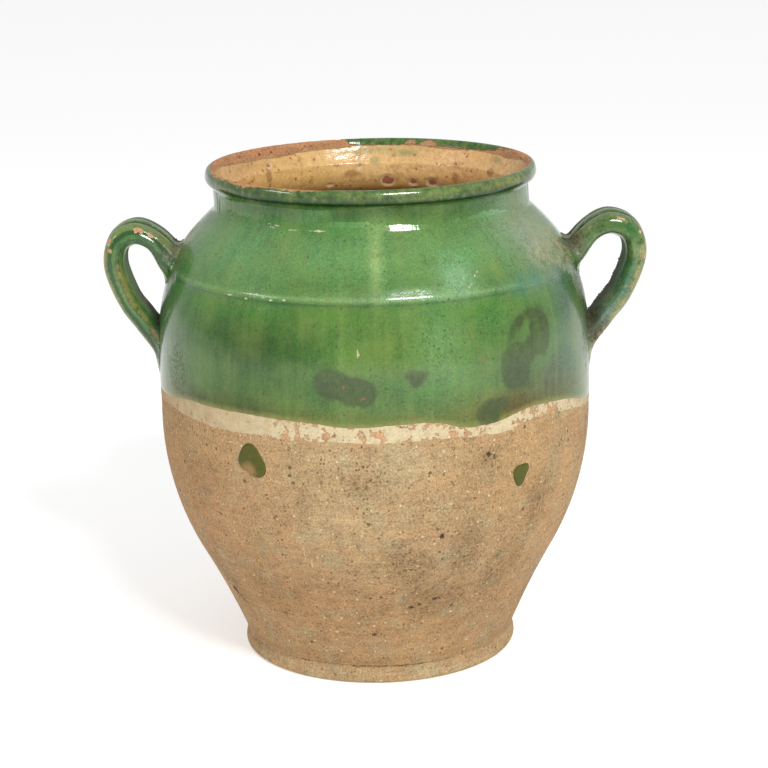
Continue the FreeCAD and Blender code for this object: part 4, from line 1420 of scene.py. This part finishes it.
# %% The ways of the two straps
LEDGE_RING, LEDGE_UP, BELLY_RING = 129.4, 256.5, 140.0
STRAP_BREADTH, STRAP_THICK, RIB_DEPTH = 36.0, 16.0, 1.7
STRAPS = {
    # side: which way it points, stand, rise, reach, thickness at the root, edge grooves
    "left": (-1.0, 24.7, 22.1, 48.2, 20.0, 0.55),
    "right": (1.0, 28.5, 22.6, 50.2, 17.0, 0.12),
}
STATIONS = (
    # ring it stands out from, share of the stand, up by the rise or down by the reach and
    # its share, lean in degrees, shares of thickness, root thickness, breadth and ribs
    (LEDGE_RING, -0.24, "rise", -0.15, 138, 1.0, 1.0, 1.02, 0.3),
    (LEDGE_RING, 0.03, "rise", 0.22, 136, 0.96, 1.0, 1.04, 0.7),
    (LEDGE_RING, 0.4, "rise", 0.77, 122, 0.9, 0.3, 1.0, 1.0),
    (BELLY_RING, 0.45, "rise", 1.0, 90, 1.0, 0.0, 1.0, 1.0),
    (BELLY_RING, 0.885, "rise", 0.73, 43, 1.0, 0.0, 1.0, 1.0),
    (BELLY_RING, 1.0, "rise", 0.03, 0, 0.98, 0.0, 1.0, 1.0),
    (BELLY_RING, 0.69, "reach", -0.45, -32, 0.94, 0.0, 0.98, 1.0),
    (BELLY_RING, 0.28, "reach", -0.76, -36, 0.94, 0.0, 0.97, 0.8),
    (BELLY_RING, -0.07, "reach", -1.1, -20, 0.68, 0.0, 0.88, 0.3),
    (BELLY_RING, -0.17, "reach", -1.34, -10, 0.65, 0.0, 0.7, 0.0),
    (BELLY_RING, -0.32, "reach", -1.63, -8, 0.61, 0.0, 0.35, 0.0),
)


def strap_way(side):
    """The stations of one strap as a line whose points carry the section's measures."""
    _, stand, rise, reach, root, _ = STRAPS[side]
    span = {"rise": rise, "reach": reach}
    places = [(ring + stand * out, 0, LEDGE_UP + span[unit] * up)
              for ring, out, unit, up, *_ in STATIONS]
    lean, thick, rooted, broad, ribbed = np.array([row[4:] for row in STATIONS]).T
    half = (STRAP_THICK + (root - STRAP_THICK) * rooted) * thick / 2
    mesh = bpy.data.meshes.new(side + "_way")
    mesh.from_pydata(places, [(n, n + 1) for n in range(len(places) - 1)], [])
    for name, values in (("lean", np.radians(lean)), ("half", half), ("broad", broad),
                         ("ribbed", ribbed)):
        keep_values(mesh, name, values)
    return bpy.data.objects.new(side + "_way", mesh)


strap_ways = {side: strap_way(side) for side in STRAPS}
print("stations for each strap:", len(STATIONS))

# %% [markdown]
# The section is drawn once, as four curves between control points: the middle rib, the
# outer ribs with the rounded edges, and the back, which the palm had flattened. Each point
# is a share of the thickness, a share of the rib depth and a share of the breadth, so the
# same section fits at every station. A groove along each edge is drawn where the section's
# edge faces sideways, as one wave across the thickness.

# %% Draw the strap's section
SECTION = (
    # thickness, rib and breadth shares of four control points each
    ((1, -1, -0.17), (1, 0.33, -0.09), (1, 0.33, 0.09), (1, -1, 0.17)),
    ((1, -1, 0.17), (1, 0.35, 0.26), (0.95, -0.3, 0.5), (0, 0, 0.5)),
    ((0, 0, 0.5), (-1.33, 0, 0.68), (-1.33, 0, -0.68), (0, 0, -0.5)),
    ((0, 0, -0.5), (0.95, -0.3, -0.5), (1, 0.35, -0.26), (1, -1, -0.17)),
)
SECTION_STEPS = (22, 32, 30, 32)
EDGE_FROM, EDGE_SOFT = 0.36, 0.1  # share of the breadth where an edge face begins
EDGE_RIB = 0.64  # share of the thickness from one edge rib to the next

section = []
for controls, steps in zip(np.array(SECTION, float), SECTION_STEPS):
    share = (np.arange(steps) / steps)[:, None]
    weights = np.hstack(((1 - share) ** 3, 3 * share * (1 - share) ** 2,
                         3 * share ** 2 * (1 - share), share ** 3))
    section.append(weights @ controls)
section = np.vstack(section)
groove_depth = np.clip((np.abs(section[:, 2]) - EDGE_FROM) / EDGE_SOFT, 0, 1)
groove_depth *= 0.5 - 0.5 * np.cos(math.tau * section[:, 0] / EDGE_RIB)
groove_depth *= np.abs(section[:, 0]) < 1.1 * EDGE_RIB
print("the section has", len(section), "corners")

# %% [markdown]
# The tree takes a flat net, one side along the strap and one round it, and carries it along
# the way. The way's few stations become one smooth curve first, and their measures are read
# from it as smoothly as the places are.

# %% Look up a corner on the way
pull = new_tree("pull_a_strap", (
    ("Way", "NodeSocketObject", None),
    ("Breadth", "NodeSocketFloat", STRAP_BREADTH),
    ("Rib Depth", "NodeSocketFloat", RIB_DEPTH),
    ("Side", "NodeSocketFloat", 1.0),
    ("Unevenness", "NodeSocketFloat", 0.5),
    ("Seed", "NodeSocketInt", 3),
    ("Finish", "NodeSocketMaterial", None),
))
given = add(pull, "NodeGroupInput").outputs
net = add(pull, "ShaderNodeSeparateXYZ", Vector=add(pull, "GeometryNodeInputPosition"))
kept = {name: add(pull, "GeometryNodeInputNamedAttribute", data_type="FLOAT", Name=name)
        for name in ("half", "broad", "ribbed", "lean", "thick_share", "rib_share",
                     "broad_share", "swell")}
guide = add(pull, "GeometryNodeObjectInfo", Object=given["Way"]).outputs["Geometry"]
way = add(pull, "GeometryNodeMeshToCurve", Mesh=guide)
way = add(pull, "GeometryNodeCurveSplineType", Curve=way, spline_type="CATMULL_ROM")
way = add(pull, "GeometryNodeSetSplineResolution", Geometry=way, Resolution=24)
measures = add(pull, "ShaderNodeCombineXYZ", X=kept["half"], Y=kept["broad"], Z=kept["ribbed"])
here = add(pull, "GeometryNodeSampleCurve", mode="FACTOR", data_type="FLOAT_VECTOR",
           Curves=way, Factor=net.outputs["X"], Value=measures)
lean = add(pull, "GeometryNodeSampleCurve", mode="FACTOR", data_type="FLOAT",
           Curves=way, Factor=net.outputs["X"], Value=kept["lean"]).outputs[0]
half, broad, ribbed = add(pull, "ShaderNodeSeparateXYZ", Vector=here).outputs
middle = add(pull, "ShaderNodeSeparateXYZ", Vector=here.outputs["Position"]).outputs
print("values that the tree reads:", ", ".join(kept))

# %% [markdown]
# A pulled strap is never quite even: noise on the strap's own surface thins it here and
# there. Each corner then steps off the middle line, outward by its share of the thickness
# and the rib, and sideways by its share of the breadth. The middle line is kept as well.

# %% Step off the way
LUMP_SIZE = 16  # mm
STRAP_LENGTH, HALF_THICK = 190.0, 7.0  # mm, so that lumps are as long as they are wide

lump_place = add(pull, "ShaderNodeCombineXYZ",
                 X=add(pull, MATH, "MULTIPLY", net.outputs["X"], STRAP_LENGTH),
                 Y=add(pull, MATH, "MULTIPLY", kept["broad_share"], STRAP_BREADTH),
                 Z=add(pull, MATH, "MULTIPLY", kept["thick_share"], HALF_THICK))
lump = add(pull, "ShaderNodeTexNoise", noise_dimensions="4D", Scale=1 / LUMP_SIZE, Detail=1.0,
           W=given["Seed"], Vector=lump_place)
shrunk = add(pull, MATH, "MULTIPLY_ADD", lump,
             add(pull, MATH, "MULTIPLY", given["Unevenness"], -1.0), half)
rib = add(pull, MATH, "MULTIPLY", add(pull, MATH, "MULTIPLY", ribbed, given["Rib Depth"]),
          kept["rib_share"])
out = add(pull, MATH, "MULTIPLY", kept["swell"],
          add(pull, MATH, "MULTIPLY_ADD", shrunk, kept["thick_share"], rib))
breadth = add(pull, MATH, "MULTIPLY", broad, given["Breadth"])
wide = add(pull, MATH, "MULTIPLY", kept["swell"],
           add(pull, MATH, "MULTIPLY", breadth, kept["broad_share"]))
reach_x = add(pull, MATH, "MULTIPLY_ADD", add(pull, MATH, "COSINE", lean), out, middle["X"])
reach_z = add(pull, MATH, "MULTIPLY_ADD", add(pull, MATH, "SINE", lean), out, middle["Z"])
corner = add(pull, "ShaderNodeCombineXYZ",
             X=add(pull, MATH, "MULTIPLY", reach_x, given["Side"]),
             Y=add(pull, MATH, "MULTIPLY", wide, given["Side"]), Z=reach_z)
spine = add(pull, "ShaderNodeCombineXYZ",
            X=add(pull, MATH, "MULTIPLY", middle["X"], given["Side"]), Z=middle["Z"])
marked = add(pull, "GeometryNodeStoreNamedAttribute", data_type="FLOAT_VECTOR",
             Geometry=given["Geometry"], Name="spine", Value=spine)
end_tree(pull, sew_up(pull, marked, corner), given["Finish"])
print("the strap tree has", len(pull.nodes), "nodes")

# %% [markdown]
# Where a strap meets the pot, wet clay was smeared into the corner, which leaves a hollow
# round joint. So a corner of the net that is near the wall slides along the wall, away from
# the middle of the strap: by nothing at the fillet's radius off the wall, and by the whole
# radius at the wall. It doesn't move off the wall, so the thin tail stays as flat as it is.

# %% Smear a strap onto the wall
FILLET = 5.5  # mm
DEEPEST = 3.0  # mm that a corner may lie inside the wall
TINY = 1e-6


def smear_onto_wall(mesh):
    """Slides the corners near the wall along it, and holds the buried ones near it."""
    places, spine = corners_of(mesh) / MM, corners_of(mesh, "spine")
    around = np.hypot(places[:, 0], places[:, 1])
    stand = around - wall_radius(places[:, 2])
    clear = np.clip(FILLET - stand, 0, FILLET)
    push = FILLET - np.sqrt(FILLET ** 2 - clear ** 2)
    slope = wall_radius(places[:, 2] + 0.5) - wall_radius(places[:, 2] - 0.5)
    normal = np.column_stack((places[:, :2] / np.maximum(around, TINY)[:, None], -slope))
    normal /= np.linalg.norm(normal, axis=1)[:, None]
    ray = places - spine
    ray /= np.maximum(np.linalg.norm(ray, axis=1), TINY)[:, None]
    ray -= normal * np.sum(ray * normal, axis=1)[:, None]
    places += ray * push[:, None]
    around = np.hypot(places[:, 0], places[:, 1])
    held = np.maximum(around, wall_radius(places[:, 2]) - DEEPEST)
    places[:, :2] *= (held / np.maximum(around, TINY))[:, None]
    move_corners(mesh, places * MM)


print("wet clay fills the corner for %.1f mm" % FILLET)

# %% [markdown]
# A net for one strap has a row of corners at each share of its way, and one more row at each
# end that closes it. It carries the section's shares, and how far each corner is from a
# streak: a line along the strap where the glaze ran thin over an edge.

# %% Pull a strap
STRAP_ROWS = 150
STREAKS = {
    # side: share of the thickness where the streak lies, and shares of the way it runs over
    "left": (-0.42, 0.42, 0.8), "right": (0.42, 0.4, 0.86),
}
STREAK_HALF = 1.2  # mm, half the width of a streak
WAY_IN_MM = 200  # about a strap's whole way, for the distance from a streak's end


def streak_distance(side, shares):
    """Distance to a strap's streak for each corner of its net, in millimetres."""
    centre, start, end = STREAKS[side]
    beyond = np.clip(np.maximum(start - shares, shares - end), 0, 1)[:, None] * WAY_IN_MM
    aside = STRAP_THICK / 2 * np.abs(section[:, 0] - centre) - STREAK_HALF
    return np.minimum(aside + beyond, FAR_FROM_MARK)


def pull_strap(side, finish):
    """One handle: the net, the tree and the smeared joints."""
    direction, *_, groove = STRAPS[side]
    shares = np.concatenate(([0], np.linspace(0, 1, STRAP_ROWS), [1]))
    swell = np.ones(len(shares))
    swell[[0, -1]] = 0
    rows = np.broadcast_to(np.arange(len(section)) / len(section), (len(shares), len(section)))
    mesh = flat_pattern(side + "_handle", shares, rows, np.zeros_like(rows), ring=True,
                        weights=np.append(np.ones(len(section) - 1), 1 / len(section)))
    thick_share, rib_share, broad_share = section.T
    broad_share = broad_share * (1 - 2 * groove / STRAP_BREADTH * groove_depth)
    for name, values in (("thick_share", thick_share), ("rib_share", rib_share),
                         ("broad_share", broad_share), ("groove", 2 * groove * groove_depth)):
        keep_values(mesh, name, np.tile(values, len(shares)))
    keep_values(mesh, "swell", np.repeat(swell, len(section)))
    keep_values(mesh, "streak", streak_distance(side, shares))
    handle = make_piece(side + "_handle_glazed", mesh, pull, finish,
                        Way=strap_ways[side], Side=direction)
    smear_onto_wall(handle.data)
    return handle


print("a strap's net has", (STRAP_ROWS + 2) * len(section), "corners")

# %% [markdown]
# ## Glaze on the handles
# On the handles the same glaze ran off the ribs and pooled in the grooves, so ribs are tan
# and yellow-green and grooves are dark. Knocks have chipped it down to the orange clay along
# the outermost ribs, and kitchen dirt sits where a strap meets the wall. Chips and dirt are
# kept as distances to spots in space, because a handle has no simple map.

# %% Where the handles are chipped
HANDLE_CHIPS = {
    # side: rows of place and radius in mm
    "left": (
        (-149, -17, 282.5, 2.0), (-146.5, -17, 282.0, 2.0), (-141.5, -17, 279.7, 1.3),
        (-139.5, -17, 278.4, 1.2), (-167.1, -14.5, 275.7, 1.6), (-167.6, -15, 273.5, 1.5),
        (-166.4, -17, 268.9, 1.3), (-170.3, -12.4, 270.5, 1.8), (-171.1, -12.6, 267, 1.9),
        (-171.5, -12.2, 263.5, 2.9), (-171.6, -12.4, 260, 2.2), (-171.4, -12.8, 256.5, 2.9),
        (-170.8, -12.4, 253, 2.3), (-169.8, -12, 249.5, 3.0), (-168.7, -12.6, 246, 2.1),
        (-167.3, -12.4, 242.5, 2.8), (-165.9, -12.2, 239.5, 1.9), (-164.3, -12.4, 236, 2.7),
        (-162.7, -12.6, 232.5, 2.0), (-160.7, -12.4, 229, 1.8), (-152, -11.6, 215.6, 1.2),
        (-146, -14, 203, 1.6), (-173, 10, 250, 3.0), (-160, 0, 281, 2.0),
    ),
    "right": (
        (156.8, -16, 283.2, 1.2), (160, -16, 282.2, 1.0), (127, -10, 265, 1.1),
        (128.5, -14, 259, 0.9), (124, -14, 262, 1.1), (130, -12, 268, 0.9),
        (170.5, -15.5, 274, 1.0), (174.2, -13, 266, 1.6), (173.6, -14.5, 258, 1.8),
        (172.9, -14, 252, 1.3), (166, -13.5, 231, 1.4), (160, -14, 222, 1.2),
        (150, -15, 203, 1.6), (176, 8, 245, 2.6), (168, 2, 279, 2.0),
    ),
}
print("chips on the handles:", {side: len(rows) for side, rows in HANDLE_CHIPS.items()})

# %% Where they are tinted and dirty
HANDLE_GROUND = {"left": "2F6630", "right": "2B5C2C"}
HANDLE_TINT = {
    # side: rows of place and reach in mm, colour, strength
    "left": (
        (-150, -17, 250, 16, "6C8045", 0.6), (-125, -12, 270, 16, "6F7A5C", 0.8),
        (-165, -14, 262, 9, "2F6428", 0.6),
    ),
    "right": (
        (150, -17, 275, 22, "2A6228", 0.8), (148, -17, 272, 11, "1A481C", 0.8),
        (163, -15, 248, 13, "3A6E3C", 0.7), (160, -15, 236, 12, "235A4C", 0.9),
        (150, -17, 220, 12, "46686A", 0.9), (172, -12, 240, 7, "8A8248", 0.8),
        (160, -10, 219, 8, "938A48", 0.8), (126, -10, 270, 16, "6F7A5C", 0.8),
        (172, -14, 262, 9, "7E8A58", 0.6),
    ),
}
HANDLE_DIRT = {
    # side: rows of place and radius in mm
    "left": (
        (-136, -8, 212, 11), (-138, 8, 208, 10), (-150, 3, 236, 6), (-145, 1, 227, 7),
        (-140, -3, 219, 7), (-126, -12, 264, 7), (-127, 6, 266, 9), (-142, -17, 200, 3),
    ),
    "right": (
        (139, -10, 214, 12), (139, 6, 212, 11), (156, 3, 241, 7), (149, 1, 231, 8),
        (161, 5, 250, 5), (128, -12, 266, 9), (127, 8, 268, 9), (150, 4, 228, 10),
        (141, -16, 206, 6),
    ),
}

print("spots of dirt:", sum(len(rows) for rows in HANDLE_DIRT.values()))

# %% Distances and tints from spots in space


def spot_distance(places, rows):
    """Distance from each place to the nearest spot's edge, in millimetres."""
    nearest = np.full(len(places), FAR_FROM_MARK)
    for x, y, z, radius in rows:
        nearest = np.minimum(nearest, np.linalg.norm(places - (x, y, z), axis=1) - radius)
    return nearest


def spot_tint(places, ground, rows):
    """A tint for each place. Rows: x, y, z and reach in mm, colour, strength."""
    tint = np.tile(paint(ground), (len(places), 1))
    for x, y, z, reach, colour, strength in rows:
        away = np.linalg.norm(places - (x, y, z), axis=1) / reach
        tint += (np.array(paint(colour)) - tint) * strength * np.exp(-away ** 2)[:, None]
    return tint


one_place = np.array([(5.0, 0.0, 0.0)])
print("5 mm from the middle of a 2 mm spot is %.0f mm from its edge"
      % spot_distance(one_place, ((0, 0, 0, 2),))[0])

# %% Ribs, grooves and streaks of the handles' glaze
# The wall's lead glaze again, but thinner on every crest: glossy, with tan, worn ribs.
handle_glaze, tree, place = start_finish("copper_green_lead_glaze_on_handles")
tint = add(tree, "ShaderNodeAttribute", attribute_name="tint").outputs["Color"]
rib, groove, outer, to_chip = (
    add(tree, "ShaderNodeAttribute", attribute_name=name).outputs["Fac"]
    for name in ("rib_share", "groove", "thick_share", "chip"))
colour, relief = green_look(tree, place, tint)
high = add(tree, MATH, "SUBTRACT", rib, add(tree, MATH, "MULTIPLY", groove, 0.9))
high = varied(tree, high, (place, 9, 3, 2.2), (place, 2.2, 4, 1.8))
crest = add(tree, "ShaderNodeMapRange", high, 0.1, 0.5)
deep = add(tree, "ShaderNodeMapRange", high, -0.2, -0.7)
margin = varied(tree, outer, (place, 10, 3, 1.2), (place, 2, 3, 1.0))
margin = add(tree, "ShaderNodeMapRange", margin, 0.45, 0.8)
worn_tan = add(tree, MATH, "MULTIPLY", margin, add(tree, "ShaderNodeMapRange", rib, -0.5, 0.1))
palm = add(tree, "ShaderNodeMapRange", outer, -0.78, -0.94)
streak = inside_mark(tree, place, "streak", 1.1, 5, 1.3)
broken = varied(tree, 0.7, (place, 7, 4, 3.0), (place, 1.4, 3, 2.4))
streak = add(tree, MATH, "MULTIPLY", streak, broken, use_clamp=True)
colour = laid_over(tree, colour, (
    (worn_tan, 0.55, "959158"), (crest, 0.48, "96985C"), (deep, 0.8, "1A3E12"),
    (palm, 0.4, "7C8674"), (streak, 0.62, "AE9658"),
))
print("the handles' glaze has", len(tree.nodes), "nodes so far")

# %% Dirt and chips on the handles
dirt = inside_mark(tree, place, "dirt", 4, 5, 4.0)
dusty = varied(tree, 0.8, (place, 1.5, 3, 2.5))
dirt = add(tree, MATH, "MULTIPLY", dirt, dusty, use_clamp=True)
chip = inside_mark(tree, place, "chip", 1.0, 2.2)
core = varied(tree, to_chip, (place, 2.2, 4, 4.0))
core = add(tree, "ShaderNodeMapRange", core, -0.3, -0.7)
clay, _ = clay_look(tree, place, paint("C07448"))
colour = laid_over(tree, colour, (
    (dirt, 0.88, "463B2C"), (chip, 1.0, "C8A884"), (core, 0.9, clay),
))
dull = add(tree, MATH, "MAXIMUM", chip, add(tree, MATH, "MAXIMUM", dirt, palm))
gloss = varied(tree, 0.12, (place, 7, 3, 0.14))
roughness = add(tree, MATH, "MULTIPLY_ADD", dull, 0.6, gloss)
relief = add(tree, MATH, "MULTIPLY_ADD", dull, -0.25, relief)
finish_off(tree, relief, Base_Color=colour, Roughness=roughness, IOR=1.55)
print("and", len(tree.nodes), "with its dirt and chips")

# %% Make the two handles
handles = {side: pull_strap(side, handle_glaze) for side in STRAPS}
for side, handle in handles.items():
    places = corners_of(handle.data) / MM
    keep_values(handle.data, "chip", spot_distance(places, HANDLE_CHIPS[side]))
    keep_values(handle.data, "dirt", spot_distance(places, HANDLE_DIRT[side]))
    keep_tint(handle.data, spot_tint(places, HANDLE_GROUND[side], HANDLE_TINT[side]))
    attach(handle, "root")
    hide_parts(side + "_handle")

# %% [markdown]
# ## Crumbs in the corners
# Where a handle meets the wall no cloth gets in, and soot, sand and bits of straw have baked
# on there. Such crumbs are the plainest use of Geometry Nodes: points are scattered where a
# piece is dirty, and a rough little stone is set on each, turned and sized by chance from a
# fixed seed. A crumb has only twenty faces. The scatter reads the dirt that the finish reads.

# %% Build the tree that scatters crumbs
DIRTY_ENOUGH = -1.0  # mm inside the dirt's edge
TURN_LIMIT = (6.28, 6.28, 6.28)  # just under one turn about each axis
SLIMMEST, BROADEST, FLATNESS = 0.4, 1.3, 0.7

scatter = new_tree("scatter_crumbs", (
    ("Density", "NodeSocketFloat", 3e5),
    ("Smallest", "NodeSocketFloat", 0.0004),
    ("Largest", "NodeSocketFloat", 0.0009),
    ("Seed", "NodeSocketInt", 5),
    ("Finish", "NodeSocketMaterial", None),
))
given = add(scatter, "NodeGroupInput").outputs
dirt = add(scatter, "GeometryNodeInputNamedAttribute", data_type="FLOAT", Name="dirt")
dirty = add(scatter, "FunctionNodeCompare", dirt, DIRTY_ENOUGH, operation="LESS_THAN")
points = add(scatter, "GeometryNodeDistributePointsOnFaces", Mesh=given["Geometry"],
             Selection=dirty, Density=given["Density"], Seed=given["Seed"])
crumb = add(scatter, "GeometryNodeMeshIcoSphere", Radius=1.0, Subdivisions=1)
turn = add(scatter, "FunctionNodeRandomValue", data_type="FLOAT_VECTOR", Seed=given["Seed"],
           Max=TURN_LIMIT)
flat = add(scatter, "FunctionNodeRandomValue", SLIMMEST, BROADEST, data_type="FLOAT",
           Seed=given["Seed"])
size = add(scatter, "FunctionNodeRandomValue", given["Smallest"], given["Largest"],
           data_type="FLOAT")
shape = add(scatter, "ShaderNodeCombineXYZ", X=add(scatter, MATH, "MULTIPLY", size, flat), Y=size,
            Z=add(scatter, MATH, "MULTIPLY", size, FLATNESS))
crumbs = add(scatter, "GeometryNodeInstanceOnPoints", Points=points, Instance=crumb,
             Rotation=turn, Scale=shape)
end_tree(scatter, crumbs, given["Finish"])
print("the scattering tree has", len(scatter.nodes), "nodes")

# %% Finish and scatter the crumbs
CRUMBS_ON_A_METRE = {"left": 6e4, "right": 1e5}  # for each square metre of dirty face

# Soot and grease baked together: dry, rough and brown, with no shine.
baked_dirt, tree, place = start_finish("baked_on_dirt")
light = varied(tree, 1.0, (place, 2.5, 3, 1.6))
colour = add(tree, VECTOR, "SCALE", paint("5A4630")[:3], Scale=light)
colour = laid_over(tree, colour, ((varied(tree, 0.2, (place, 6, 2, 3.0)), 0.4, "8E5A3C"),))
finish_off(tree, varied(tree, 0.0, (place, 0.8, 2, 0.2)), Base_Color=colour, Roughness=0.9)

for side, handle in handles.items():
    pile = make_piece(side + "_crumbs", handle.data.copy(), scatter, baked_dirt,
                      Density=CRUMBS_ON_A_METRE[side])
    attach(pile, "root")

# %% Sizes and the last line
low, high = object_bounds()
print("the dressed pot reaches from", tuple(low), "to", tuple(high))
